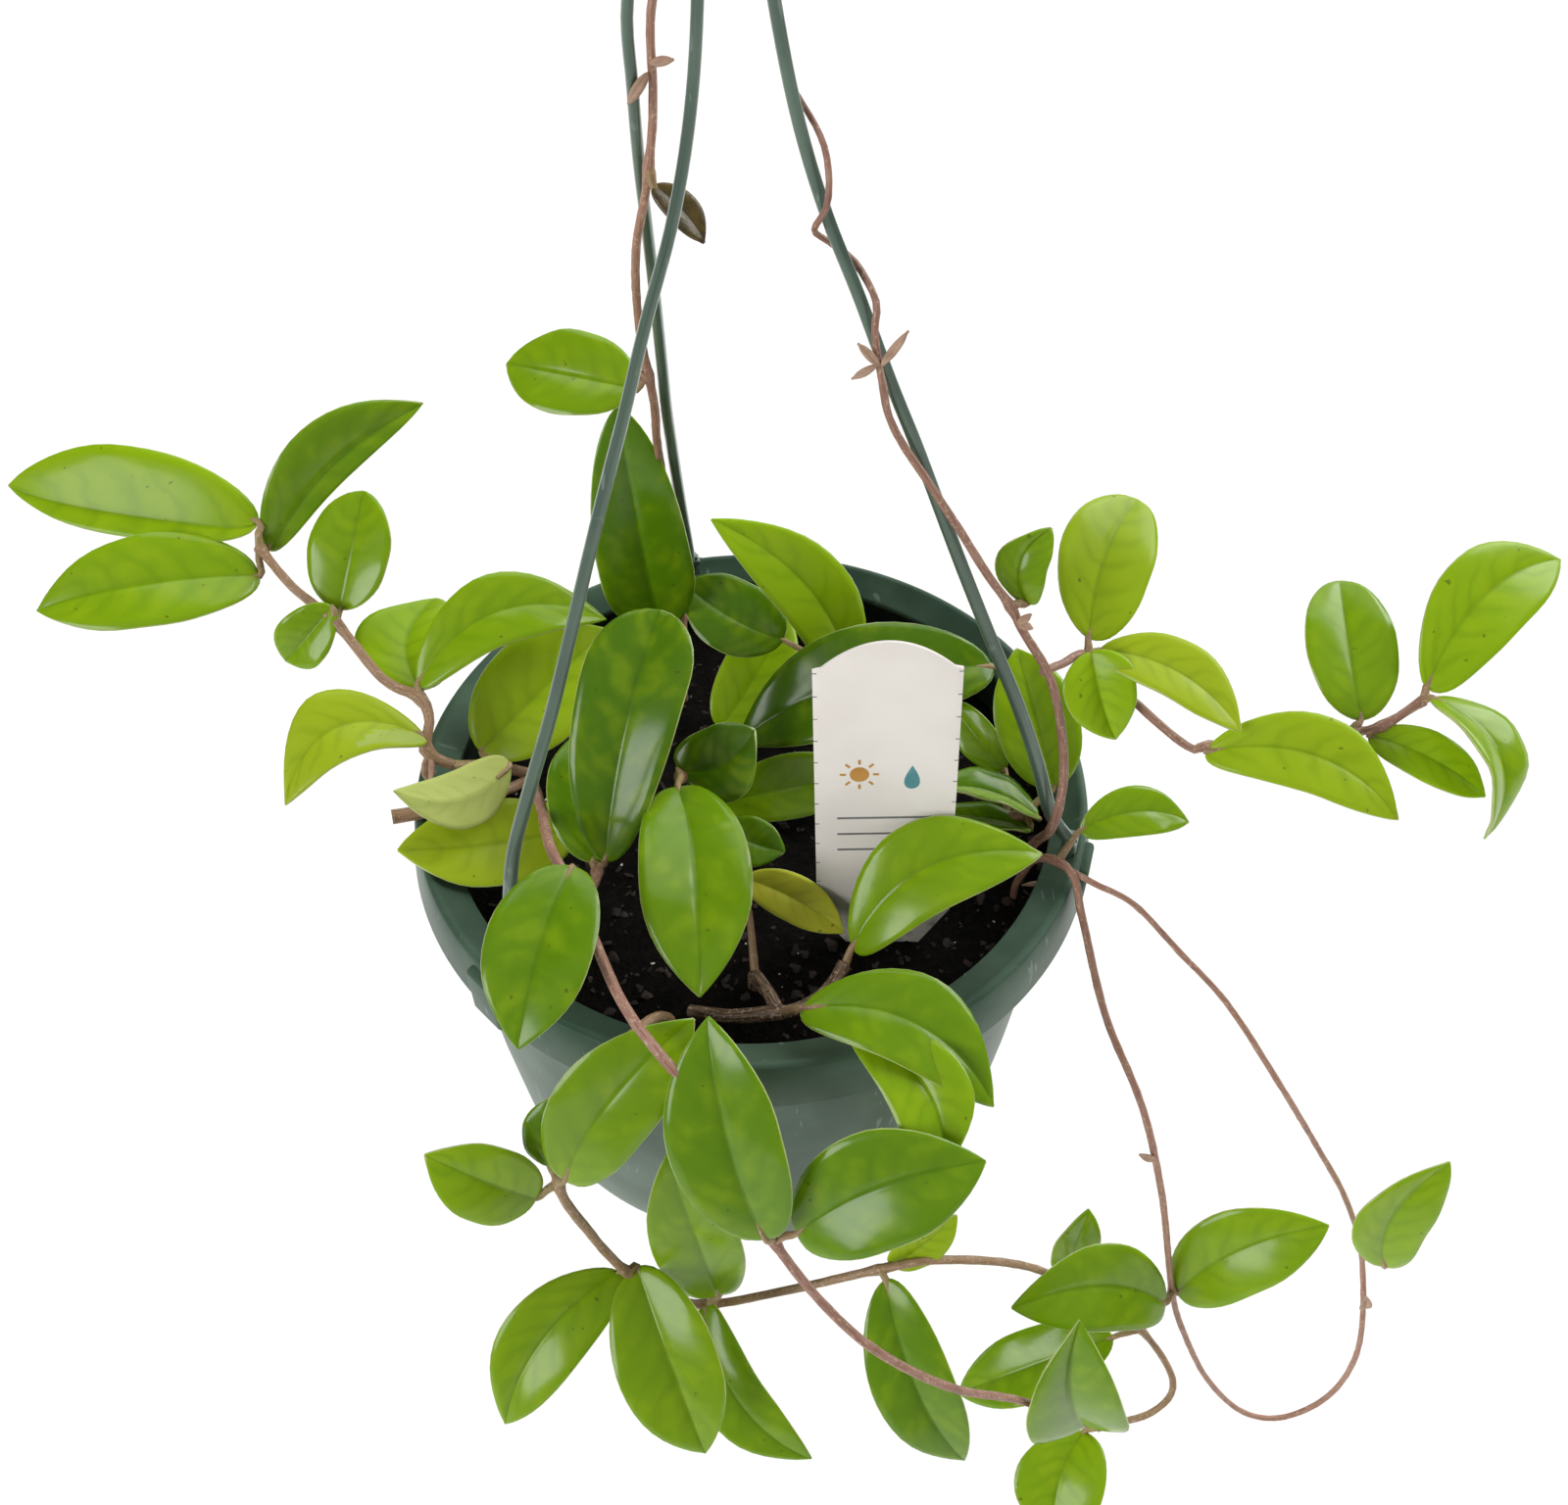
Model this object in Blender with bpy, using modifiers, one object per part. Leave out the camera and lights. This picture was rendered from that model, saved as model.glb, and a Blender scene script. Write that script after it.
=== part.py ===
# A potted wax plant in a hanging pot: a turned plastic pot with three strand pockets, potting mix,
# a stake label, a hanger of three strands and a hook, and the leafy stems.
# Lengths are in millimetres from the centre of the pot's rim; place() turns them into metres
# from the hook's bearing point, which is the part's origin. +Y points away from the viewer.
import math

import bmesh
import bpy
from mathutils import Matrix, Vector

MM = 0.001
GAP = 0.35                 # clearance between touching pieces
MERGE = 0.00001            # weld distance, metres

# Pot
RIM_RADIUS = 100.0
BAND_RADIUS = 103.5        # widest line of the outer rim band
BAND_DEPTH = 15.0
LIP_WIDTH = 9.5
POT_HEIGHT = 143.0
FOOT_RADIUS = 75.0
POT_STEPS = 28
# The pot's inner wall from under the lip to the floor, as (radius, height)
INNER_WALL = ((92.0, -26.0), (90.4, -60.0), (87.8, -95.0), (84.6, -121.0), (80.5, -134.0), (73.0, -139.5))
DRAIN_HOLES = 6
DRAIN_RADIUS = 4.0
DRAIN_CIRCLE = 50.0

# Strand pockets under the rim
STRAND_AZIMUTHS = (104.0, 225.0, 344.0)
POCKET_WIDTH = 13.0
POCKET_INNER = 93.4        # radii of its inner and outer faces
POCKET_OUTER = 103.9
POCKET_TOP = -1.6
POCKET_BOTTOM = -20.5
SLOT_RADIUS = 96.5
SLOT_WIDTH = 6.2
SLOT_DEPTH = 3.9
FOOT_TOP = 6.0             # the strand's foot stands this far above the rim

# Soil
SOIL_LEVEL = -21.0
SOIL_CROWN = 3.0           # rise at the middle
SOIL_BUMP = 0.9
SOIL_STEPS = 20
STEM_SINK = 20.0           # how deep a stem stands in its hole

# Stake label
LABEL_WIDTH = 38.0
LABEL_THICK = 0.9
LABEL_FOOT = (39.0, -46.0, -21.0)
LABEL_ABOVE = 112.0
LABEL_SIDE_START = 15.0    # height where the taper becomes the straight side
LABEL_BELOW = 12.0
LABEL_LEAN_BACK = 7.0
LABEL_LEAN_LEFT = 2.0
LABEL_ARCH = (16.8, 8.0)   # half width and rise of its arched top

# Hanger
HUB_X = -6.0
HUB_HEIGHT = 285.0
HUB_RADIUS = 9.0
HUB_TALL = 9.0
HOOK_ROD = 3.0
HOOK_RADIUS = 15.0
HOOK_CENTRE = 329.0
BEARING_HEIGHT = HOOK_CENTRE + HOOK_RADIUS - HOOK_ROD
STRAND_TOP_RADIUS = 1.3
STRAND_FOOT_RADIUS = 2.1
# How a strand runs, as (distance from the axis, height)
STRAND_RUN = (
    (96.5, 4.0), (89.0, 14.0), (81.0, 35.0), (72.0, 56.0), (63.0, 75.0), (54.0, 97.0), (46.0, 117.0),
    (39.0, 134.0), (32.0, 150.0), (24.0, 170.0), (16.0, 189.0), (11.0, 208.0), (8.0, 228.0),
    (6.0, 250.0), (5.0, HUB_HEIGHT - GAP),
)
# How far each strand bows to the right, as (height, distance)
STRAND_BOWS = (
    ((4.0, 0.0), (50.0, -5.5), (90.0, -10.4), (130.0, -13.7), (190.0, -19.0), (225.0, -20.0), (285.0, 0.0)),
    ((4.0, 0.0), (30.0, -4.0), (165.0, -3.8), (190.0, -3.0), (225.0, -1.2), (285.0, 0.0)),
    ((4.0, 0.0), (30.0, 1.3), (70.0, 3.0), (110.0, 2.2), (190.0, 2.5), (225.0, 1.0), (285.0, 0.0)),
)

# Leaves and stems
LEAF_THICK = 1.2
LEAF_SHAPE = ((0.0, 0.0), (0.1, 0.62), (0.27, 0.93), (0.48, 1.0), (0.7, 0.82), (0.88, 0.44), (1.0, 0.0))
LEAF_BROADEST = 0.48       # where along the blade that list is widest
ACROSS = 2                 # faces across a blade
PETIOLE_RADIUS = 1.15
NODE_SWELL = 1.45          # a stem is this much thicker where a leaf sits
NODE_REACH = 14.0          # a leaf's base lies this near its place on the stem
STEM_SPACING = 17.0        # distance between the rings of a stem
VINE_RADIUS = 1.35

COLOURS = {
    "pot_plastic": ((0.13, 0.17, 0.15, 1.0), 0.45),
    "potting_mix": ((0.02, 0.015, 0.01, 1.0), 0.95),
    "label_plastic": ((0.78, 0.74, 0.70, 1.0), 0.5),
    "hanger_plastic": ((0.10, 0.15, 0.13, 1.0), 0.4),
    "foliage": ((0.16, 0.32, 0.03, 1.0), 0.35),
}


def place(point):
    """Millimetres from the rim's centre to metres from the bearing point."""
    return Vector((point[0] - HUB_X, point[1], point[2] - BEARING_HEIGHT)) * MM


def clear_scene():
    for old in list(bpy.data.objects):
        bpy.data.objects.remove(old)


def new_collection(name):
    made = bpy.data.collections.new(name)
    bpy.context.scene.collection.children.link(made)
    return made


def new_material(name):
    colour, roughness = COLOURS[name]
    made = bpy.data.materials.new(name)
    made.use_nodes = True
    shader = made.node_tree.nodes["Principled BSDF"]
    shader.inputs["Base Color"].default_value = colour
    shader.inputs["Roughness"].default_value = roughness
    shader.inputs["Metallic"].default_value = 0.0
    made.diffuse_color = colour
    return made


def new_object(name, data, collection, material=None):
    made = bpy.data.objects.new(name, data)
    collection.objects.link(made)
    if material:
        made.data.materials.append(material)
    return made


def bmesh_object(name, bm, collection, material=None):
    mesh = bpy.data.meshes.new(name)
    bm.to_mesh(mesh)
    bm.free()
    return new_object(name, mesh, collection, material)


def as_mesh(source):
    """Replaces an object by its evaluated, welded mesh and drops its modifiers."""
    bpy.context.view_layer.update()
    evaluated = source.evaluated_get(bpy.context.evaluated_depsgraph_get())
    mesh = bpy.data.meshes.new_from_object(evaluated)
    bm = bmesh.new()
    bm.from_mesh(mesh)
    bmesh.ops.remove_doubles(bm, verts=bm.verts, dist=MERGE)
    bm.to_mesh(mesh)
    bm.free()
    name, home = source.name, source.users_collection[0]
    materials = [slot.material for slot in source.material_slots]
    matrix = source.matrix_world.copy()
    bpy.data.objects.remove(source)
    made = new_object(name, mesh, home)
    made.matrix_world = matrix
    made.data.materials.clear()
    for material in materials:
        made.data.materials.append(material)
    return made


def hide_cutter(cutter):
    cutter.hide_render = True
    cutter.display_type = "WIRE"


def cut(target, cutter, operation="DIFFERENCE"):
    change = target.modifiers.new(operation.title(), "BOOLEAN")
    change.operation = operation
    change.object = cutter
    hide_cutter(cutter)


def turned(name, profile, steps, collection, material=None):
    """Turns a profile of (radius, height) about the axis; its outer side runs top to bottom."""
    mesh = bpy.data.meshes.new(name)
    points = [(radius * MM, 0.0, height * MM) for radius, height in profile]
    mesh.from_pydata(points, [(i, i + 1) for i in range(len(points) - 1)], [])
    made = new_object(name, mesh, collection, material)
    made.location = place((0.0, 0.0, 0.0))
    screw = made.modifiers.new("Turn", "SCREW")
    screw.steps = steps
    screw.render_steps = steps
    screw.use_merge_vertices = True
    screw.merge_threshold = MERGE
    return as_mesh(made)


def tube(name, points, radii, collection, material=None, resolution=1):
    """A closed tube through points in millimetres, with a radius at each point."""
    curve = bpy.data.curves.new(name, "CURVE")
    curve.dimensions = "3D"
    curve.bevel_depth = MM
    curve.bevel_resolution = resolution
    curve.use_fill_caps = True
    spline = curve.splines.new("POLY")
    spline.points.add(len(points) - 1)
    for knot, point, radius in zip(spline.points, points, radii):
        knot.co = (*place(point), 1.0)
        knot.radius = radius
    return as_mesh(new_object(name, curve, collection, material))


def smooth_route(route, spacing):
    """Points about a spacing apart on a smooth curve through the route's points."""
    ends = [Vector(p) for p in route]
    ends = [ends[0] * 2 - ends[1]] + ends + [ends[-1] * 2 - ends[-2]]
    smooth = [ends[1]]
    for before, start, stop, after in zip(ends, ends[1:], ends[2:], ends[3:]):
        pieces = max(1, round((stop - start).length / spacing + 0.2))
        for step in range(1, pieces + 1):
            t = step / pieces
            smooth.append(0.5 * (
                2 * start + (stop - before) * t
                + (2 * before - 5 * start + 4 * stop - after) * t ** 2
                + (3 * start - before - 3 * stop + after) * t ** 3))
    return smooth


def polar(azimuth, radius, height):
    angle = math.radians(azimuth)
    return Vector((radius * math.cos(angle), radius * math.sin(angle), height))


def box(name, size, collection):
    bm = bmesh.new()
    bmesh.ops.create_cube(bm, size=1.0)
    bmesh.ops.scale(bm, vec=Vector(size) * MM, verts=bm.verts)
    return bmesh_object(name, bm, collection)


def rod(name, radius, low, high, collection, sides=16):
    """An upright cylinder between two points given at its ends' centres."""
    bm = bmesh.new()
    bmesh.ops.create_cone(bm, cap_ends=True, segments=sides, radius1=radius * MM,
                          radius2=radius * MM, depth=(high[2] - low[2]) * MM)
    made = bmesh_object(name, bm, collection)
    made.location = place([(a + b) / 2 for a, b in zip(low, high)])
    return made


def round_edges(target, width, segments=2):
    bevel = target.modifiers.new("Round", "BEVEL")
    bevel.width = width * MM
    bevel.segments = segments


def pot_profile():
    """Rows of (radius, height): the inner wall, the lip, the hollow band, then the body and foot."""
    lip = RIM_RADIUS - LIP_WIDTH
    inside = [(0.0, INNER_WALL[-1][1]), *reversed(INNER_WALL), (92.6, -8.0), (lip, -5.2), (lip, -3.2)]
    band = [(RIM_RADIUS - 3.0, -0.6), (RIM_RADIUS - 1.0, 0.8), (RIM_RADIUS + 0.8, 0.2),
            (BAND_RADIUS, -BAND_DEPTH), (BAND_RADIUS - 1.7, -BAND_DEPTH), (98.6, -2.6), (95.4, -3.8)]
    body = [(94.5, -20.0), (92.9, -55.0), (90.3, -90.0), (87.6, -117.0), (86.2, -130.0), (84.6, -136.5),
            (FOOT_RADIUS + 2.0, -POT_HEIGHT + 1.0), (FOOT_RADIUS - 1.0, -POT_HEIGHT),
            (FOOT_RADIUS - 6.0, -POT_HEIGHT), (FOOT_RADIUS - 8.0, -POT_HEIGHT + 1.6),
            (0.0, -POT_HEIGHT + 1.6)]
    return inside + band + body


def make_pot(parts, cutters, material):
    pot = turned("pot", pot_profile(), POT_STEPS, parts, material)
    middle = (POCKET_TOP + POCKET_BOTTOM) / 2
    tall = POCKET_TOP - POCKET_BOTTOM
    deep = POCKET_OUTER - POCKET_INNER
    for number, azimuth in enumerate(STRAND_AZIMUTHS, 1):
        turn = Matrix.Rotation(math.radians(azimuth), 4, "Z")
        pocket = box(f"pocket_{number}", (deep, POCKET_WIDTH, tall), cutters)
        centre = place(polar(azimuth, POCKET_INNER + deep / 2, middle))
        pocket.matrix_world = Matrix.Translation(centre) @ turn
        round_edges(pocket, 2.0)
        cut(pot, pocket, "UNION")
        slot = box(f"pocket_slot_{number}", (SLOT_DEPTH, SLOT_WIDTH, tall + 20.0), cutters)
        slot.matrix_world = Matrix.Translation(place(polar(azimuth, SLOT_RADIUS, middle))) @ turn
        cut(pot, slot)
    for number in range(DRAIN_HOLES):
        x, y, _ = polar(360.0 * number / DRAIN_HOLES, DRAIN_CIRCLE, 0.0)
        low = (x, y, -POT_HEIGHT - 3.0)
        cut(pot, rod(f"drain_{number + 1}", DRAIN_RADIUS, low, (x, y, -POT_HEIGHT + 8.0), cutters, 10))
    return pot


def soil_height(x, y):
    """Level of the potting mix: a low crown with shallow lumps."""
    far = math.hypot(x, y) / RIM_RADIUS
    lumps = math.sin(x * 0.21 + 1.0) * math.sin(y * 0.17) + 0.6 * math.sin(x * 0.09 - y * 0.27)
    fade = max(0.0, 1.0 - (far / 0.86) ** 6)
    return SOIL_LEVEL + SOIL_CROWN * (1.0 - far ** 2) + SOIL_BUMP * lumps * fade


def make_soil(parts, cutters, material, stems):
    inset = GAP + INNER_WALL[0][0] * (1.0 - math.cos(math.pi / POT_STEPS))
    side = [(radius - inset, height + GAP) for radius, height in INNER_WALL]
    top = [(radius, SOIL_LEVEL) for radius in (0.0, 16.0, 32.0, 48.0, 63.0, 78.0, side[0][0])]
    soil = turned("soil", [*top, *side, (0.0, side[-1][1])], SOIL_STEPS, parts, material)
    for vertex in soil.data.vertices:
        if vertex.co.z > (SOIL_LEVEL - 5.0) * MM:
            vertex.co.z = soil_height(vertex.co.x / MM, vertex.co.y / MM) * MM
    for number, (x, y, radius) in enumerate(stems, 1):
        low = (x, y, SOIL_LEVEL - STEM_SINK - 1.0)
        cut(soil, rod(f"stem_hole_{number}", radius + GAP, low, (x, y, 0.0), cutters, 12))
    slot = box("label_slot", (LABEL_WIDTH + 2 * GAP, LABEL_THICK + 2 * GAP, 2 * LABEL_BELOW + 1.0), cutters)
    slot.matrix_world = label_matrix()
    cut(soil, slot)
    return soil


def label_matrix():
    """The label's frame: origin where its middle meets the soil, X across and Z up the label."""
    lean = Matrix.Rotation(math.radians(-LABEL_LEAN_BACK), 4, "X")
    roll = Matrix.Rotation(math.radians(-LABEL_LEAN_LEFT), 4, "Y")
    return Matrix.Translation(place(LABEL_FOOT)) @ lean @ roll


def make_label(parts, material):
    """A flat stake: pointed foot, straight sides, small shoulders and an arched top."""
    half = LABEL_WIDTH / 2
    wide, rise = LABEL_ARCH
    shoulder = LABEL_ABOVE - rise
    arch = [(wide * math.cos(math.radians(a)), shoulder + rise * math.sin(math.radians(a)) ** 2)
            for a in range(0, 181, 15)]
    outline = [(-half, shoulder - 0.5), (-half, LABEL_SIDE_START), (-3.0, -LABEL_BELOW + 1.0),
               (0.0, -LABEL_BELOW), (3.0, -LABEL_BELOW + 1.0), (half, LABEL_SIDE_START),
               (half, shoulder - 0.5)]
    curve = bpy.data.curves.new("plant_label", "CURVE")
    curve.dimensions = "2D"
    curve.fill_mode = "BOTH"
    curve.extrude = LABEL_THICK / 2 * MM
    spline = curve.splines.new("POLY")
    spline.points.add(len(outline) + len(arch) - 1)
    for knot, (x, z) in zip(spline.points, outline + arch):
        knot.co = (x * MM, z * MM, 0.0, 1.0)
    spline.use_cyclic_u = True
    flat = new_object("plant_label", curve, parts, material)
    flat.matrix_world = label_matrix() @ Matrix.Rotation(math.radians(90.0), 4, "X")
    bpy.context.view_layer.update()
    return as_mesh(flat)


def between(pairs, place_on):
    """Straight interpolation in a row of (place, value) pairs."""
    for (low, start), (high, stop) in zip(pairs, pairs[1:]):
        if place_on <= high:
            return start + (stop - start) * max(0.0, place_on - low) / (high - low)
    return pairs[-1][1]


def strand_centre(number, height):
    """Where a strand's centre line is at a height above the rim."""
    outward = between([(high, away) for away, high in STRAND_RUN], height)
    centre = polar(STRAND_AZIMUTHS[number], outward, height)
    centre.x += between(STRAND_BOWS[number], height) + HUB_X * max(0.0, height / HUB_HEIGHT) ** 6
    return centre


def make_strand(number, parts, material):
    """A strand from the hub down to the flat foot that stands in the pocket's slot."""
    azimuth = STRAND_AZIMUTHS[number]
    heights = [height for _, height in STRAND_RUN]
    run = smooth_route([strand_centre(number, height) for height in reversed(heights)], 16.0)
    last = len(run) - 1
    taper = STRAND_FOOT_RADIUS - STRAND_TOP_RADIUS
    thick = [STRAND_TOP_RADIUS + taper * (count / last) ** 1.5 for count in range(last + 1)]
    strand = tube(f"hanger_strand_{number + 1}", run, thick, parts, material)
    tall = FOOT_TOP - POCKET_BOTTOM
    foot = box("foot", (SLOT_DEPTH - 2 * GAP, SLOT_WIDTH - 2 * GAP, tall), parts)
    centre = place(polar(azimuth, SLOT_RADIUS, (FOOT_TOP + POCKET_BOTTOM) / 2))
    foot.matrix_world = Matrix.Translation(centre) @ Matrix.Rotation(math.radians(azimuth), 4, "Z")
    round_edges(foot, 0.5, 1)
    return join(strand, [foot])


def make_hook(parts, material):
    """The hub with its shank and open hook, as one body."""
    arc = [(-HOOK_RADIUS * math.cos(math.radians(a)), HOOK_CENTRE + HOOK_RADIUS * math.sin(math.radians(a)))
           for a in range(0, 181, 15)]
    low = [(0.0, HUB_HEIGHT + 3.0), (0.0, HUB_HEIGHT + 12.0), (-2.5, HUB_HEIGHT + 20.0),
           (-10.0, HUB_HEIGHT + 28.0), (-14.2, HUB_HEIGHT + 36.0)]
    end = [(14.6, HOOK_CENTRE - 5.0), (16.5, HOOK_CENTRE - 11.0)]
    run = [(HUB_X + x, 0.0, z) for x, z in low + arc + end]
    thick = [HOOK_ROD] * (len(run) - 1) + [HOOK_ROD * 0.8]
    hook = tube("hanger_hook", run, thick, parts, material, 2)
    hub = rod("hub", HUB_RADIUS, (HUB_X, 0, HUB_HEIGHT), (HUB_X, 0, HUB_HEIGHT + HUB_TALL), parts, 20)
    round_edges(hub, 1.5, 1)
    return join(hook, [hub])


def join(body, others):
    """Fuses objects into one body by a Boolean union on a collection, then drops them."""
    group = new_collection("joined")
    for other in others:
        for home in list(other.users_collection):
            home.objects.unlink(other)
        group.objects.link(other)
    union = body.modifiers.new("Fuse", "BOOLEAN")
    union.operation = "UNION"
    union.operand_type = "COLLECTION"
    union.collection = group
    fused = as_mesh(body)
    for other in list(group.objects):
        bpy.data.objects.remove(other)
    bpy.data.collections.remove(group)
    return fused


def leaf(base, tip, width, face=(0.0, -0.5, 0.85), arch=0.07, fold=12.0, sway=0.0, widest=0.48):
    """One leaf: where its blade starts and ends, its width, and the way its upper side looks.
    arch lifts the middle by a share of the length, sway bends it sideways by a share of the
    length, fold raises the halves by an angle, and widest is the share of the length where the
    blade is broadest."""
    return {"base": Vector(base), "tip": Vector(tip), "width": width, "face": Vector(face),
            "arch": arch, "fold": math.radians(fold), "sway": sway, "widest": widest}


def blade_share(spec, along):
    """The share of the full width at a place along the blade."""
    if along < spec["widest"]:
        return between(LEAF_SHAPE, along / spec["widest"] * LEAF_BROADEST)
    rest = (along - spec["widest"]) / (1.0 - spec["widest"])
    return between(LEAF_SHAPE, LEAF_BROADEST + rest * (1.0 - LEAF_BROADEST))


def blade_point(spec, along, across):
    """A point of the blade's middle surface; along runs 0 to 1, across runs -1 to 1."""
    reach = spec["tip"] - spec["base"]
    way = reach.normalized()
    up = (spec["face"] - way * spec["face"].dot(way)).normalized()
    side = way.cross(up)
    half = spec["width"] / 2 * blade_share(spec, along) * across
    bend = reach.length * 4 * along * (1 - along)
    lift = spec["arch"] * bend + abs(half) * math.sin(spec["fold"])
    aside = spec["sway"] * bend + half * math.cos(spec["fold"])
    return spec["base"] + reach * along + side * aside + up * lift


def make_blade(name, spec, collection):
    """A grid bent to the leaf's shape, split in triangles and given its thickness."""
    rows = len(LEAF_SHAPE) - 1
    bm = bmesh.new()
    bmesh.ops.create_grid(bm, x_segments=rows, y_segments=ACROSS, size=1.0)
    for vertex in bm.verts:
        row = round((vertex.co.x + 1) / 2 * rows)
        vertex.co = place(blade_point(spec, LEAF_SHAPE[row][0], vertex.co.y))
    bmesh.ops.remove_doubles(bm, verts=bm.verts, dist=MERGE)
    bmesh.ops.triangulate(bm, faces=bm.faces)
    blade = bmesh_object(name, bm, collection)
    solid = blade.modifiers.new("Thickness", "SOLIDIFY")
    solid.thickness = LEAF_THICK * MM
    solid.offset = 0.0
    return blade


def make_petiole(name, spec, stem_point, collection):
    """The leaf's stalk, from the stem's core into the start of the midrib."""
    inside = blade_point(spec, 0.15, 0.0)
    start = blade_point(spec, 0.0, 0.0)
    bend = (stem_point + start) / 2 + Vector((0.0, 0.0, 0.6))
    thin = PETIOLE_RADIUS
    radii = [thin, thin, thin, thin * 0.7]
    return tube(name, [stem_point, bend, start, inside], radii, collection, resolution=0)


def leafy_stem(name, routes, leaves, collection, material):
    """One body: its stems along their routes, a stalk and a blade for each leaf."""
    pieces = []
    rings = []
    for number, (route, start_radius, end_radius) in enumerate(routes):
        run = smooth_route(route, STEM_SPACING)
        nodes = [nearest(run, spec["base"]) for spec in leaves]
        swollen = [node for node in nodes if node]
        last = len(run) - 1
        thick = []
        for count, point in enumerate(run):
            radius = start_radius + (end_radius - start_radius) * count / last
            near = any((point - node).length < 1.0 for node in swollen)
            thick.append(radius * NODE_SWELL if near and 2 < count < last else radius)
        rings += run
        pieces.append(tube(f"{name}_run_{number}" if number else name, run, thick, collection, material))
    for number, spec in enumerate(leaves):
        start = min(rings, key=lambda point: (point - spec["base"]).length)
        pieces.append(make_petiole(f"{name}_stalk_{number}", spec, start, collection))
        pieces.append(make_blade(f"{name}_blade_{number}", spec, collection))
    return join(pieces[0], pieces[1:])


def nearest(run, base):
    """The ring of a stem that a leaf's base is close to, if any."""
    closest = min(run, key=lambda point: (point - base).length)
    return closest if (closest - base).length < NODE_REACH else None


def rooted(x, y, *rest):
    """A route that starts in its soil hole and leaves it upright."""
    upright = [(x, y, SOIL_LEVEL + rise) for rise in (-STEM_SINK, -STEM_SINK / 2, 4.0, 7.0)]
    return upright + list(rest)


def vine_left():
    """The stem that leaves the pot at the left and reaches up and out, with a short side shoot and
    a cut stub at its foot."""
    run = rooted(-70, 12, (-77, 7, -5), (-89, -3, 8), (-96, -3, 15), (-95, 3, 20), (-98, 9, 24),
                 (-109, 13, 28), (-124, 28, 36), (-137, 36, 43), (-149, 49, 47))
    stub = [(-70, 12, -15), (-75, 2, -9), (-85, -10, -2), (-96, -17, 3), (-105, -20, 4)]
    leaves = [
        leaf((-149, 54, 53), (-230, 71, 52), 28, (-0.1, -0.6, 0.8), 0.04, 14, 0.03),
        leaf((-149, 43, 41), (-211, 27, 41), 31, (0.0, -0.4, 0.9), 0.08, 12, 0.01),
        leaf((-148, 52, 44), (-102, 89, 71), 20, (0.6, -0.6, 0.6), 0.06, 14, -0.15),
        leaf((-124, 34, 36), (-117, 60, 60), 27, (-0.2, -0.7, 0.6), 0.06, 12, 0.03),
        leaf((-125, 31, 40), (-141, 24, 24), 18, (0.2, -0.6, 0.8), 0.06, 20, -0.02, widest=0.6),
        leaf((-96, -1, 18), (-133, -24, 14), 24, (-0.1, -0.4, 0.9), 0.14, 12, 0.28),
        leaf((-100, 17, 19), (-100, 53, 23), 32, (0.0, -0.6, 0.8), 0.06, 12, -0.17),
        leaf((-99, 13, 26), (-45, 37, 30), 23, (0.0, -0.5, 0.85), 0.14, 12, -0.18),
        leaf((-84, 11, -2), (-46, 46, 17), 35, (0.0, -0.6, 0.8), 0.08),
        leaf((-71, -7, 13), (-98, -31, 29), 18, (-0.2, 0.5, -0.85), 0.05, 10, 0.16, widest=0.32),
    ]
    return [(run, 1.8, VINE_RADIUS), (stub, 1.6, 2.2)], leaves


def vine_back():
    """The vine that climbs the back strand."""
    offsets = ((28.0, -3.0, -5.0), (40.0, -4.2, -3.8), (65.0, -3.9, -2.0), (85.0, -3.4, -3.5),
               (102.0, -2.9, -3.0), (125.0, -4.7, 0.0), (142.0, -4.6, -0.5), (157.0, -3.6, -2.2),
               (169.0, -1.9, -3.8), (182.0, 1.0, -4.0), (190.0, 2.4, -3.0), (199.0, 3.6, -1.5),
               (209.0, 4.3, 0.0), (225.0, 5.4, 0.5), (246.0, 4.5, 2.0))
    run = rooted(-24, 50, (-24, 62, 8), *beside_strand(0, offsets))
    leaves = [
        leaf((-30, 51, 13), (-39, 62, 90), 30, (0.2, -0.8, 0.3), 0.04, 16, -0.02, widest=0.3),
        leaf((-31, 44, 109), (-68, 58, 107), 26, (0.1, -0.5, 0.85), 0.06, 12, -0.02),
        leaf((-20, 11, 186), (-9, 5, 176), 8, (0.3, -0.6, 0.7), 0.05, 12, -0.06),
    ]
    return [(run, 1.5, 0.9)], leaves


def beside_strand(number, offsets):
    """Route points given as (height, x offset, y offset) from a strand's centre line."""
    return [strand_centre(number, height) + Vector((dx, dy, 0.0)) for height, dx, dy in offsets]


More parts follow.
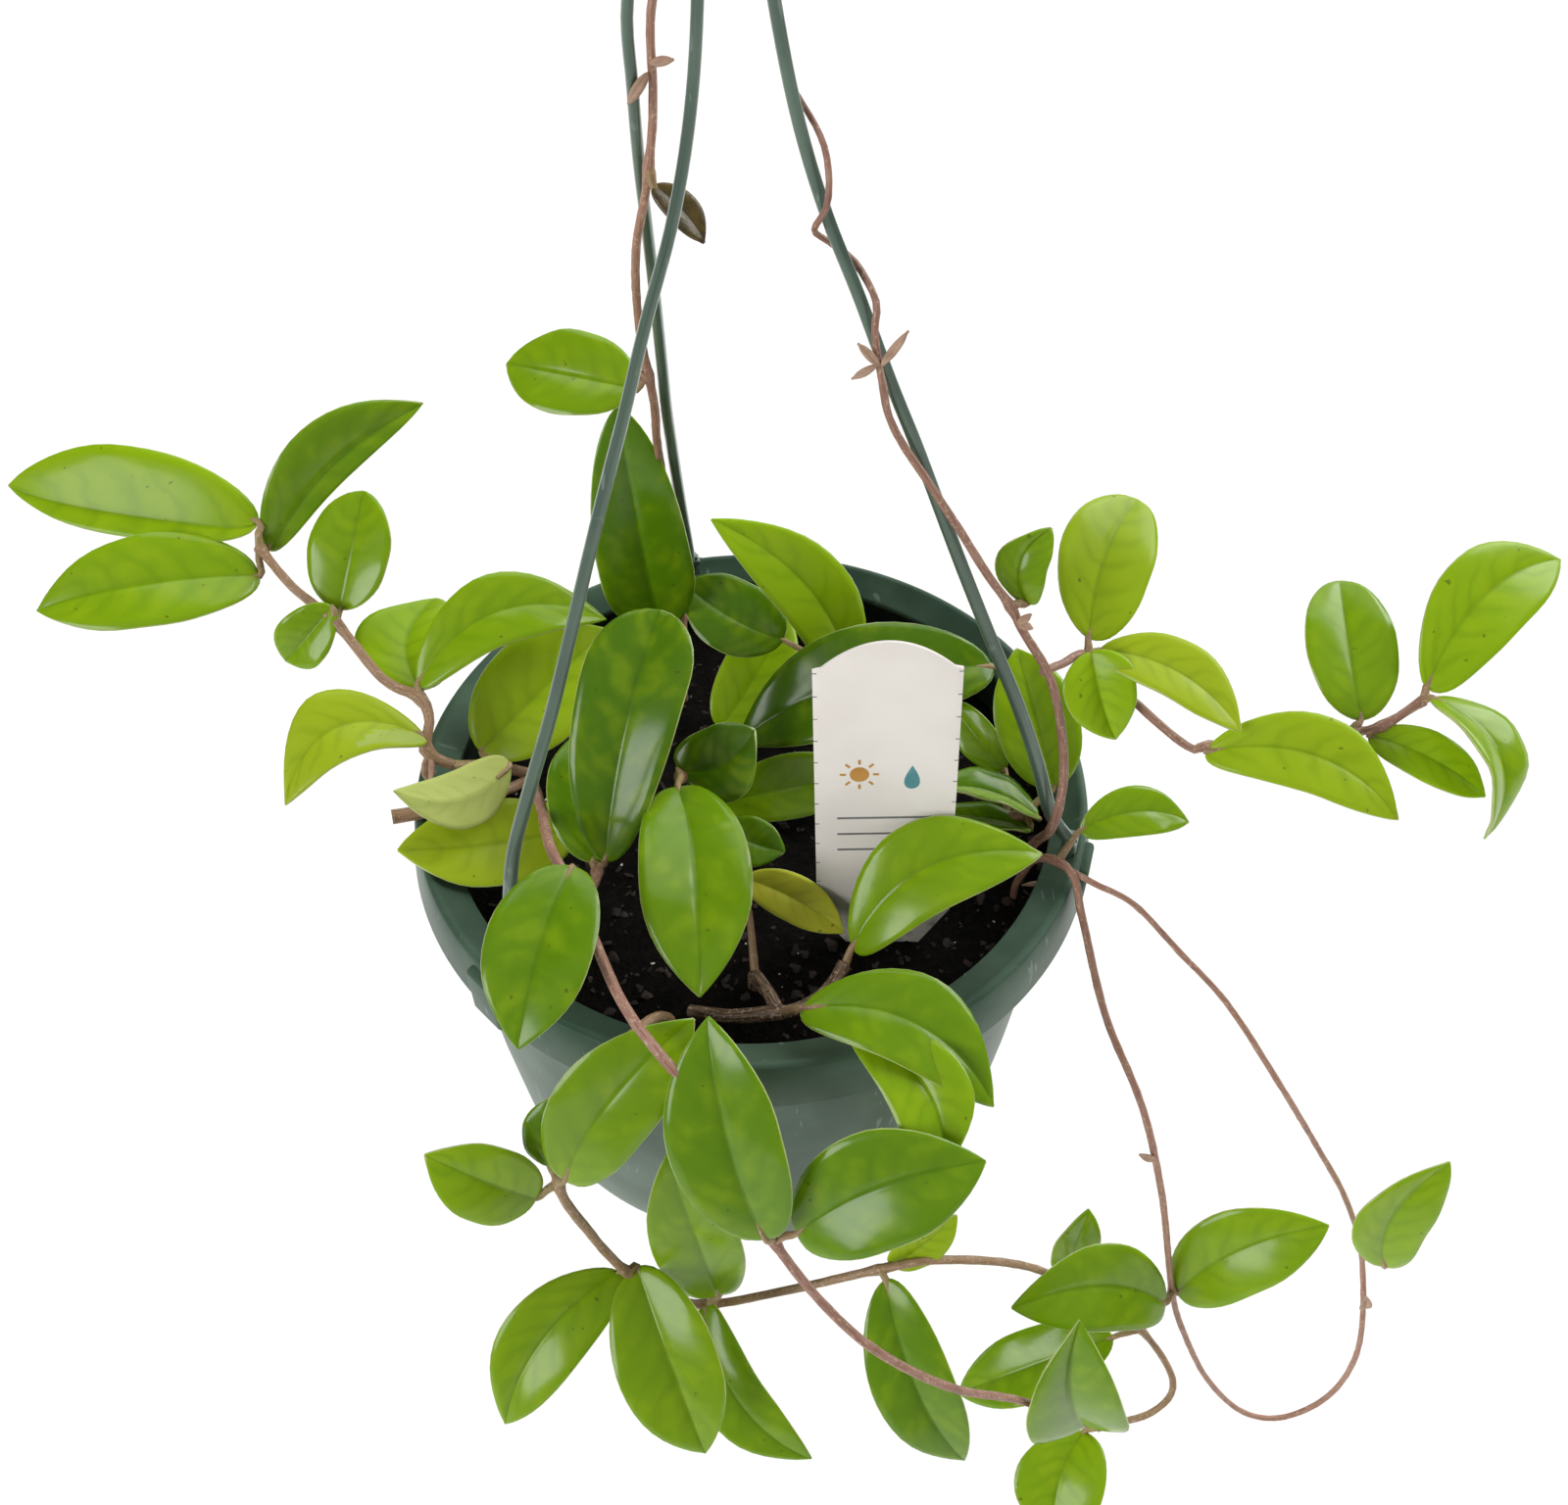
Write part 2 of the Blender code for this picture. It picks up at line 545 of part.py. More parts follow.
def vine_long():
    """The long stem that arches over the front rim and trails to the right."""
    run = rooted(-66, -2, (-66, -5, 0), (-64, -11, 8.5), (-60, -23, 12), (-57, -35, 18), (-53, -48, 24),
                 (-46, -60, 22), (-41, -70, 17), (-30.5, -93, 18.5), (-18.5, -107, 13.5), (-10, -109, 0),
                 (-3, -112, -15), (3, -118, -30), (8, -129, -40), (23, -137, -66), (39, -143, -84),
                 (61, -143, -110), (84, -137, -137), (108, -131, -172))
    side = [(-44, -63, 20), (-43, -52, 13), (-43, -41, 6), (-47, -27, -2)]
    leaves = [
        leaf((-41, -37, 6), (-26, 16, 54), 32, (-0.1, -0.6, 0.7), 0.08, 16, -0.02, widest=0.72),
        leaf((-45, -36, 4), (-49, 4, 17), 26, (0.2, -0.6, 0.7), 0.05),
        leaf((-46, -58, 31), (-57, -103, 14), 29, (0.0, -0.55, 0.85), 0.08, 14, 0.03),
        leaf((6, -134, -28), (-9, -98, 22), 31, (-0.1, -0.8, 0.5), 0.06, 14, -0.04),
        leaf((14, -131, -31), (62, -122, -7), 32, (0.0, -0.66, 0.75), 0.08, 12, -0.09),
        leaf((111, -133, -172), (102, -120, -116), 37, (0.0, -0.7, 0.6), 0.08, 30, -0.09, widest=0.25),
        leaf((-52, -17, -4), (-101, -33, 5), 27, (0.0, -0.35, 0.95), 0.04, 6, -0.05),
    ]
    return [(run, 1.6, 1.2), (side, 1.4, 1.4)], leaves


def vine_front():
    """The stem that drops over the front-left rim and runs below the pot to the right."""
    run = rooted(-21, -80, (-21, -83, -3), (-25, -88, 4), (-33, -97, 4.5), (-38, -101, 0), (-42, -99, -10),
                 (-47, -101, -24), (-51, -114, -38), (-45, -115, -67), (-36, -116, -92), (-25, -114, -114),
                 (-13, -112, -126), (11, -110, -120), (40, -110, -103), (60, -108, -100),
                 (89, -101, -121), (115, -96, -156), (136, -97, -182), (150, -107, -204),
                 (143, -115, -212), (124, -118, -220))
    leaves = [
        leaf((-48, -118, -28), (-13, -93, 13), 28, (0.1, -0.7, 0.6), 0.08, 12, -0.09),
        leaf((-53, -112, -32), (-51, -100, -15), 16, (-0.2, -0.6, 0.7), 0.05),
        leaf((-57, -117, -41), (-83, -118, -14), 22, (0.0, -0.6, 0.8), 0.08),
        leaf((-39, -113, -99), (-73, -148, -129), 27, (0.0, -0.66, 0.75), 0.08, 20, 0.12),
        leaf((-33, -114, -93), (-12, -156, -129), 33, (0.0, -0.65, 0.76), 0.08, 22),
        leaf((-9, -113, -116), (-23, -98, -52), 27, (0.0, -0.7, 0.7), 0.06),
        leaf((-14, -112, -125), (20, -150, -153), 21, (-0.1, -0.6, 0.8), 0.08, 16, 0.13),
        leaf((42, -113, -103), (68, -150, -153), 27, (0.0, -0.8, 0.6), 0.08, 20, 0.06),
        leaf((44, -108, -104), (63, -100, -86), 14, (0.2, -0.7, 0.6), 0.05),
        leaf((111, -84, -166), (112, -78, -128), 17, (0.1, -0.7, 0.6), 0.05, 12, -0.06),
        leaf((120, -118, -224), (109, -150, -245), 34, (-0.1, -0.5, 0.85), 0.06, 22, 0.12),
        leaf((127, -98, -187), (76, -104, -227), 26, (-0.6, -0.25, 0.8), 0.06, 18, -0.01),
    ]
    return [(run, 1.5, 1.2)], leaves


def vine_loop():
    """The thin vine that loops out at the right and comes back up to the rim."""
    run = rooted(79, -29, (82, -31, 0), (87, -34, 4.5), (92, -40, 5), (96, -47, -8), (105, -62, -35),
                 (117, -79, -57), (129, -88, -97), (143, -93, -158), (153, -95, -190), (169, -98, -228),
                 (188, -100, -256), (206, -99, -264), (220, -96, -247), (220, -93, -206), (211, -81, -160),
                 (198, -75, -127), (180, -72, -94), (158, -70, -55), (140, -59, -31), (125, -50, -18),
                 (110, -45, -2), (98, -42, 4), (88, -35, 4.5))
    leaves = [
        leaf((139, -99, -154), (84, -110, -132), 29, (0.0, -0.6, 0.8), 0.08, 12, 0.13),
        leaf((145, -93, -160), (188, -86, -121), 30, (0.0, -0.6, 0.8), 0.08, 12, -0.11),
        leaf((209, -93, -137), (220, -78, -92), 26, (0.1, -0.7, 0.7), 0.05, 14, -0.19),
        leaf((94, -30, 13), (126, -25, 11), 15, (0.0, -0.5, 0.85), 0.10, 12, -0.12),
    ]
    return [(run, 1.5, 1.1)], leaves


def vine_right():
    """The vine that climbs the right strand, with the branch that carries the right-hand leaves."""
    offsets = ((14.0, -1.0, -6.5), (22.0, 3.5, -4.5), (33.0, 7.3, -1.0), (50.0, 10.3, 1.5),
               (64.0, 11.0, 2.0), (76.0, 9.0, 2.0), (86.0, 8.2, 1.0), (98.0, 5.7, -1.0), (111.0, 3.6, -2.6),
               (125.0, 0.8, -4.4), (140.0, -3.1, -2.6), (153.0, -1.0, -4.2), (164.0, 1.2, -4.0),
               (170.0, 3.6, -1.5), (176.0, 1.4, 3.6), (181.0, -2.4, 3.0), (184.5, -3.9, 0.0),
               (188.0, -2.4, -3.0), (192.0, 0.9, -3.8), (197.0, 3.0, -2.4), (203.0, 3.8, 0.0),
               (209.0, 2.8, 2.2), (215.0, 1.5, 3.2))
    run = rooted(74, -21, (79, -26, -4), (83, -28, 6), *beside_strand(2, offsets))
    branch = [(78, -17, 64), (84, -12, 62), (92, -7, 60), (105, -14, 50), (119, -25, 44), (125, -25, 44),
              (148, -20, 40), (166, -17, 41), (174, -17, 44), (185, -12, 49)]
    leaves = [
        leaf((92, -3, 63), (107, 34, 81), 28, (0.1, -0.7, 0.6), 0.08, 12, -0.10),
        leaf((92, -8, 63), (100, -22, 43), 22, (0.0, -0.7, 0.6), 0.05, 25, 0.04, widest=0.3),
        leaf((95, -5, 60), (131, -28, 53), 18, (0.2, -0.5, 0.85), 0.12, 12, -0.09),
        leaf((124, -27, 44), (175, -42, 34), 22, (0.0, -0.6, 0.8), 0.10, 12, -0.15),
        leaf((169, -14, 43), (167, 24, 60), 26, (0.0, -0.7, 0.6), 0.06, 12, -0.02),
        leaf((186, -9, 51), (228, 26, 67), 27, (0.0, -0.66, 0.75), 0.08, 12, -0.15),
        leaf((171, -18, 41), (202, -32, 32), 15, (0.0, -0.5, 0.85), 0.08, 12, -0.04),
        leaf((186, -14, 52), (201, -42, 26), 22, (0.6, -0.4, 0.7), 0.25, 14, -0.09),
        leaf((72, -12, 84), (77, -2, 101), 15, (0.1, -0.8, 0.5), 0.06, 20, -0.27),
    ]
    return [(run, 1.6, 0.9), (branch, 1.2, 1.2)], leaves


def spray_right():
    """Leaves that stand at the right edge, behind the strand and the label."""
    run = rooted(74, -8, (77, -10, -6), (82, -11, -3))
    leaves = [
        leaf((77, 4, 0), (60, 23, 11), 13, (-0.2, -0.8, 0.5), 0.05, 12, -0.01),
        leaf((91, -4, 1), (79, 26, 30), 26, (0.1, -0.8, 0.5), 0.05, 12, -0.01),
        leaf((86, -13, -3), (54, -10, 8), 17, (0.1, 0.2, 1.0), 0.08, 26, 0.05),
        leaf((84, -14, -7), (55, -12, -3), 12, (0.1, 0.2, 1.0), 0.06, 20),
    ]
    return [(run, 1.6, 1.4)], leaves


def stem_middle():
    """The short stems in the middle of the pot."""
    run = rooted(-18, 4, (-19, 2, -4), (-21, -7, 8))
    side = [(-18, 4, -13), (-12, 0, -11), (-4, -12, -9)]
    leaves = [
        leaf((-21, -17, 15), (-12, -84, 9), 32, (0.0, -0.4, 0.9), 0.13, 16, -0.04, widest=0.56),
        leaf((-22, -4, 8), (1, 4, 17), 24, (0.0, -0.5, 0.8), 0.08, 12, 0.20),
        leaf((-10, 1, -14), (36, 10, -10), 21, (0.0, -0.5, 0.8), 0.06, 12, -0.01),
        leaf((-7, -20, 0), (10, -27, -2), 15, (0.0, -0.5, 0.8), 0.06, 12, 0.06),
    ]
    return [(run, 1.6, 1.5), (side, 1.4, 1.3)], leaves


def stem_back():
    """The stems behind the middle, with the tall and the dark leaves."""
    run = rooted(24, 34, (22, 38, 2), (24, 42, 4))
    side = [(24, 34, -12), (44, 36, -2), (64, 32, 12), (72, 30, 17)]
    leaves = [
        leaf((31, 46, -8), (-13, 58, 52), 25, (0.1, -0.66, 0.75), 0.08, 12, 0.12),
        leaf((9, 50, 9), (-22, 62, 21), 25, (0.0, -0.5, 0.85), 0.06, 12, -0.06),
        leaf((-11, 31, -12), (10, 66, 7), 23, (0.0, -0.6, 0.8), 0.05, 12, 0.04),
        leaf((73, 28, 20), (-5, 18, -5), 33, (-0.1, -0.5, 0.85), 0.12, 12, 0.07),
    ]
    return [(run, 1.6, 1.5), (side, 1.6, 1.4)], leaves


def stem_front():
    """The old brown stem near the front, with the two large front leaves."""
    run = rooted(2, -62, (6, -72, -8), (10, -79, -6), (20, -74, -6), (27, -66, -2))
    side = [(10, -79, -6), (-4, -78, -10), (-16, -74, -14)]
    leaves = [
        leaf((29, -63, 2), (80, -47, 24), 26, (0.0, -0.5, 0.85), 0.12, 12, -0.18),
        leaf((15, -86, 7), (65, -107, -6), 25, (0.0, -0.4, 0.9), 0.12, 12, -0.17),
        leaf((29, -90, 4), (52, -122, -12), 23, (0.1, -0.6, 0.8), 0.12, 16, -0.16, widest=0.65),
        leaf((-1, -40, 2), (27, -54, -4), 14, (0.0, -0.5, 0.8), 0.05, 12, -0.05),
    ]
    return [(run, 2.4, 1.6), (side, 2.2, 1.8)], leaves


PLANT = {
    "vine_left": vine_left, "vine_back": vine_back, "vine_long": vine_long,
    "vine_front": vine_front, "vine_loop": vine_loop, "vine_right": vine_right,
    "spray_right": spray_right, "stem_middle": stem_middle, "stem_back": stem_back,
    "stem_front": stem_front,
}


def main():
    clear_scene()
    parts = new_collection("potted_wax_plant")
    cutters = new_collection("cutters")
    materials = {name: new_material(name) for name in COLOURS}
    make_pot(parts, cutters, materials["pot_plastic"])
    holes = []
    for name, design in PLANT.items():
        routes, leaves = design()
        root, start_radius, _ = routes[0]
        holes.append((root[0][0], root[0][1], start_radius))
        leafy_stem(name, routes, leaves, parts, materials["foliage"])
    make_soil(parts, cutters, materials["potting_mix"], holes)
    make_label(parts, materials["label_plastic"])
    for number in range(len(STRAND_AZIMUTHS)):
        make_strand(number, parts, materials["hanger_plastic"])
    make_hook(parts, materials["hanger_plastic"])


main()
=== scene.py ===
# A wax plant in a hanging pot. Places are in millimetres from the centre of the pot's rim,
# with x to the right, y away and z up; place() turns them into metres from the hook.
import math

import bmesh
import bpy
from mathutils import Matrix, Vector, noise


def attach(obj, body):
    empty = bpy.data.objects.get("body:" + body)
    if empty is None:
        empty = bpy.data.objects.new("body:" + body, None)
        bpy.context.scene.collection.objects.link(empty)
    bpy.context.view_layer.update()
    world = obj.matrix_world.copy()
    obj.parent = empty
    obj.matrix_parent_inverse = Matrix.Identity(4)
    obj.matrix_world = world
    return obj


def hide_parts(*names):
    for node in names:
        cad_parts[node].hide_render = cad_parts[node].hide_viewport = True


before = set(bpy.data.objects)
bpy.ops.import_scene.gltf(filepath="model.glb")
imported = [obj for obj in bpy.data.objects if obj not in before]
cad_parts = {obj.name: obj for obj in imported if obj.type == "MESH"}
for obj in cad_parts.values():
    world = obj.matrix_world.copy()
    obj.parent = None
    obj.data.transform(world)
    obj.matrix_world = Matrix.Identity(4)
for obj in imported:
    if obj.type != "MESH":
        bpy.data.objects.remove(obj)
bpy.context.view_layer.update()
print("frame loaded:", len(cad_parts), "nodes")

mm = 0.001
rimToHook = Vector((6.0, 0.0, -341.0))      # from the hook's bearing point to the rim's centre


def place(point):
    return (Vector(point) + rimToHook) * mm


def toLinear(code):                         # "#rrggbb" as the screen shows it
    parts = [int(code[at:at + 2], 16) / 255 for at in (1, 3, 5)]
    return (*[part / 12.92 if part <= 0.04045 else ((part + 0.055) / 1.055) ** 2.4 for part in parts], 1.0)


def addNode(tree, kind, sockets=None, **settings):
    node = tree.nodes.new(kind)
    for name, value in settings.items():
        setattr(node, name, value)
    for name, value in (sockets or {}).items():
        if isinstance(value, bpy.types.NodeSocket):
            tree.links.new(value, node.inputs[name])
        else:
            node.inputs[name].default_value = toLinear(value) if str(value).startswith("#") else value
    return node


def newMaterial(name, sockets):
    made = bpy.data.materials.new(name)
    made.use_nodes = True
    shader = made.node_tree.nodes["Principled BSDF"]
    for socket, value in sockets.items():
        shader.inputs[socket].default_value = toLinear(value) if isinstance(value, str) else value
    return made, made.node_tree, shader


def calc(tree, operation, *values):
    return addNode(tree, "ShaderNodeMath", dict(enumerate(values)), operation=operation).outputs[0]


def ranged(tree, value, low, high, start=0.0, stop=1.0):
    sockets = {"Value": value, "From Min": low, "From Max": high, "To Min": start, "To Max": stop}
    return addNode(tree, "ShaderNodeMapRange", sockets, interpolation_type="SMOOTHSTEP").outputs[0]


def mixed(tree, share, first, second, blend="MIX"):
    sockets = {0: share, 6: first, 7: second}
    return addNode(tree, "ShaderNodeMix", sockets, data_type="RGBA", blend_type=blend).outputs[2]


def grain(tree, size, detail=2.0, stretch=(1.0, 1.0, 1.0)):      # blobs about size mm across
    spot = addNode(tree, "ShaderNodeTexCoord").outputs["Object"]
    turned = addNode(tree, "ShaderNodeMapping", {"Vector": spot, "Scale": stretch}).outputs[0]
    sockets = {"Vector": turned, "Scale": 1.0 / (size * mm), "Detail": detail}
    return addNode(tree, "ShaderNodeTexNoise", sockets).outputs["Fac"]


def addBump(tree, shader, height, depth, strength=0.5):
    bump = addNode(tree, "ShaderNodeBump", {"Height": height, "Distance": depth * mm, "Strength": strength})
    tree.links.new(bump.outputs[0], shader.inputs["Normal"])


def newPiece(name, mesh, *materials):
    piece = bpy.data.objects.new(name, mesh)
    bpy.context.scene.collection.objects.link(piece)
    for material in materials:
        mesh.materials.append(material)
    return piece


def fromBmesh(name, bm, *materials):
    mesh = bpy.data.meshes.new(name)
    bm.to_mesh(mesh)
    bm.free()
    return newPiece(name, mesh, *materials)


def settle(piece, sharpAngle=35.0):         # modifiers and place go into the mesh
    graph = bpy.context.evaluated_depsgraph_get()
    mesh = bpy.data.meshes.new_from_object(piece.evaluated_get(graph))
    mesh.transform(piece.matrix_world)
    piece.modifiers.clear()
    piece.matrix_world = Matrix.Identity(4)
    piece.data = mesh
    mesh.shade_smooth()
    mesh.set_sharp_from_angle(angle=math.radians(sharpAngle))
    return piece


def fuse(piece, others):                    # one mesh from several settled pieces, materials kept
    for other in others:
        for material in other.data.materials:
            if material.name not in piece.data.materials:
                piece.data.materials.append(material)
    bm = bmesh.new()
    bm.from_mesh(piece.data)
    for other in others:
        start = len(bm.faces)
        bm.from_mesh(other.data)
        bm.faces.ensure_lookup_table()
        homes = [piece.data.materials.find(material.name) for material in other.data.materials]
        for face in bm.faces[start:]:
            face.material_index = homes[face.material_index]
        bpy.data.objects.remove(other)
    bm.to_mesh(piece.data)
    bm.free()
    return piece


def cutWith(piece, tool, operation="DIFFERENCE"):
    change = piece.modifiers.new(tool.name, "BOOLEAN")
    change.operation = operation
    change.object = tool
    tool.hide_render = True
    tool.hide_viewport = False
    return tool


def smoothRoute(route, spacing):            # points about spacing apart on a smooth curve
    ends = [Vector(point) for point in route]
    ends = [ends[0] * 2 - ends[1]] + ends + [ends[-1] * 2 - ends[-2]]
    smooth = [ends[1]]
    for before, start, stop, after in zip(ends, ends[1:], ends[2:], ends[3:]):
        pieces = max(1, round((stop - start).length / spacing + 0.2))
        for step in range(1, pieces + 1):
            t = step / pieces
            smooth.append(0.5 * (
                2 * start + (stop - before) * t
                + (2 * before - 5 * start + 4 * stop - after) * t ** 2
                + (3 * start - before - 3 * stop + after) * t ** 3))
    return smooth


def between(pairs, at):
    for (low, start), (high, stop) in zip(pairs, pairs[1:]):
        if at <= high:
            return start + (stop - start) * max(0.0, at - low) / (high - low)
    return pairs[-1][1]


def polar(azimuth, radius, height):
    angle = math.radians(azimuth)
    return Vector((radius * math.cos(angle), radius * math.sin(angle), height))


# Geometry Nodes: a skin round every run of edges, as thick as the edges' points say
def skinTree(material):
    tree = bpy.data.node_groups.new("runSkin", "GeometryNodeTree")
    tree.interface.new_socket("Runs", in_out="INPUT", socket_type="NodeSocketGeometry")
    for name, value in (("Sides", 12), ("Unevenness", 0.0), ("Blob Size", 0.002)):
        kind = "NodeSocketInt" if name == "Sides" else "NodeSocketFloat"
        tree.interface.new_socket(name, in_out="INPUT", socket_type=kind).default_value = value
    tree.interface.new_socket("Skin", in_out="OUTPUT", socket_type="NodeSocketGeometry")
    given = addNode(tree, "NodeGroupInput").outputs
    line = addNode(tree, "GeometryNodeMeshToCurve", {"Mesh": given["Runs"]}).outputs[0]
    thick = addNode(tree, "GeometryNodeInputNamedAttribute", {"Name": "thick"}).outputs["Attribute"]
    way = addNode(tree, "GeometryNodeSplineParameter").outputs
    sockets = {"Geometry": line, "Name": "reach", "Value": way["Length"]}
    line = addNode(tree, "GeometryNodeStoreNamedAttribute", sockets, domain="POINT").outputs[0]
    ring = addNode(tree, "GeometryNodeCurvePrimitiveCircle", {"Resolution": given["Sides"], "Radius": 1.0})
    sockets = {"Geometry": ring.outputs[0], "Name": "turn", "Value": way["Factor"]}
    ring = addNode(tree, "GeometryNodeStoreNamedAttribute", sockets, domain="POINT").outputs[0]
    sockets = {"Curve": line, "Profile Curve": ring, "Scale": thick, "Fill Caps": True}
    skin = addNode(tree, "GeometryNodeCurveToMesh", sockets).outputs[0]
    normal = addNode(tree, "GeometryNodeInputNormal").outputs[0]
    spread = calc(tree, "DIVIDE", 1.0, given["Blob Size"])
    blob = addNode(tree, "ShaderNodeTexNoise", {"Scale": spread, "Detail": 1.0}).outputs["Fac"]
    blob = calc(tree, "MULTIPLY", calc(tree, "SUBTRACT", blob, 0.5), given["Unevenness"])
    sockets = {"Vector": normal, "Scale": blob}
    push = addNode(tree, "ShaderNodeVectorMath", sockets, operation="SCALE").outputs[0]
    skin = addNode(tree, "GeometryNodeSetPosition", {"Geometry": skin, "Offset": push}).outputs[0]
    skin = addNode(tree, "GeometryNodeRealizeInstances", {"Geometry": skin}).outputs[0]
    skin = addNode(tree, "GeometryNodeSetMaterial", {"Geometry": skin, "Material": material}).outputs[0]
    addNode(tree, "NodeGroupOutput", {"Skin": skin})
    return tree


def giveNodes(piece, tree, values):         # inputs are set by their identifiers
    change = piece.modifiers.new(tree.name, "NODES")
    change.node_group = tree
    for item in tree.interface.items_tree:
        if item.in_out == "INPUT" and item.name in values:
            change[item.identifier] = values[item.name]
    return change


def skinned(name, runs, tree, values):      # runs: (points, radii, tone) in millimetres
    mesh = bpy.data.meshes.new(name)
    points, edges, radii, tones = [], [], [], []
    for run, thick, tone in runs:
        first = len(points)
        points += [place(point) for point in run]
        edges += [(first + at, first + at + 1) for at in range(len(run) - 1)]
        radii += [radius * mm for radius in thick]
        tones += [tone] * len(run)
    mesh.from_pydata(points, edges, [])
    mesh.attributes.new("thick", "FLOAT", "POINT").data.foreach_set("value", radii)
    mesh.attributes.new("stemTone", "FLOAT", "POINT").data.foreach_set("value", tones)
    piece = newPiece(name, mesh)
    giveNodes(piece, tree, values)
    return settle(piece, 60.0)


# Painted shade on the pot's inner wall below the lip, in metres from the rim's centre: the wall's taper, the
# radii between which the painted shade ends, and the heights between which it starts and fades out again
innerWallShade = {"taper": 0.075, "radii": (0.0950, 0.0957), "start": (-0.006, -0.003), "end": (-0.060, -0.050)}


# Polypropylene, injection moulded, grey-green: dull sheen, fine mould grain, dust and hair-thin pale
# scratches; on the pot, painted shade darkens the inner wall below the lip
def mouldedPlastic(name, look):
    made, tree, shader = newMaterial(name, {
        "Roughness": look["roughness"], "IOR": 1.52, "Specular IOR Level": look["shine"],
        "Specular Tint": "#a3c7b2",
        "Coat Weight": look["coat"], "Coat Roughness": 0.22,
        "Sheen Weight": look["dust"], "Sheen Roughness": 0.5, "Sheen Tint": "#cfe0d3"})
    cloud = grain(tree, 28.0, 3.0)
    colour = mixed(tree, ranged(tree, cloud, 0.35, 0.7), look["colour"], look["dusty"])
    for number, stretch in enumerate(((1.0, 0.05, 0.12), (0.06, 1.0, 0.15), (0.4, 0.4, 0.02))):
        line = grain(tree, 0.9 + 0.3 * number, 0.0, stretch)
        patch = ranged(tree, grain(tree, 17.0 + 5 * number, 1.0), 0.58, 0.66)
        mark = calc(tree, "MULTIPLY", ranged(tree, line, 0.72, 0.75, 0.0, look["scratch"]), patch)
        colour = mixed(tree, mark, colour, "#9fada5")
    # painted shade: the inner wall below the lip is darkened to near black, in patches
    if look["paintedInnerShade"]:
        spot = addNode(tree, "ShaderNodeTexCoord").outputs["Object"]
        spot = addNode(tree, "ShaderNodeMapping", {"Vector": spot, "Location": -place((0, 0, 0))}).outputs[0]
        axes = addNode(tree, "ShaderNodeSeparateXYZ", {"Vector": spot}).outputs
        flat = addNode(tree, "ShaderNodeCombineXYZ", {0: axes[0], 1: axes[1]}).outputs[0]
        away = addNode(tree, "ShaderNodeVectorMath", {0: flat}, operation="LENGTH").outputs["Value"]
        untapered = calc(tree, "MULTIPLY_ADD", axes[2], -innerWallShade["taper"], away)
        inner = ranged(tree, untapered, *innerWallShade["radii"], 1.0, 0.0)
        below = ranged(tree, axes[2], *innerWallShade["start"], 1.0, 0.0)
        below = calc(tree, "MULTIPLY", below, ranged(tree, axes[2], *innerWallShade["end"]))
        patchy = ranged(tree, grain(tree, 12.0, 4.0), 0.25, 0.6, 0.75, 1.0)
        paintedInnerShade = calc(tree, "MULTIPLY", calc(tree, "MULTIPLY", inner, below), patchy)
        colour = mixed(tree, paintedInnerShade, colour, "#151a14")
    tree.links.new(colour, shader.inputs["Base Color"])
    addBump(tree, shader, grain(tree, 0.7, 2.0), 0.05, look["bump"])
    return made
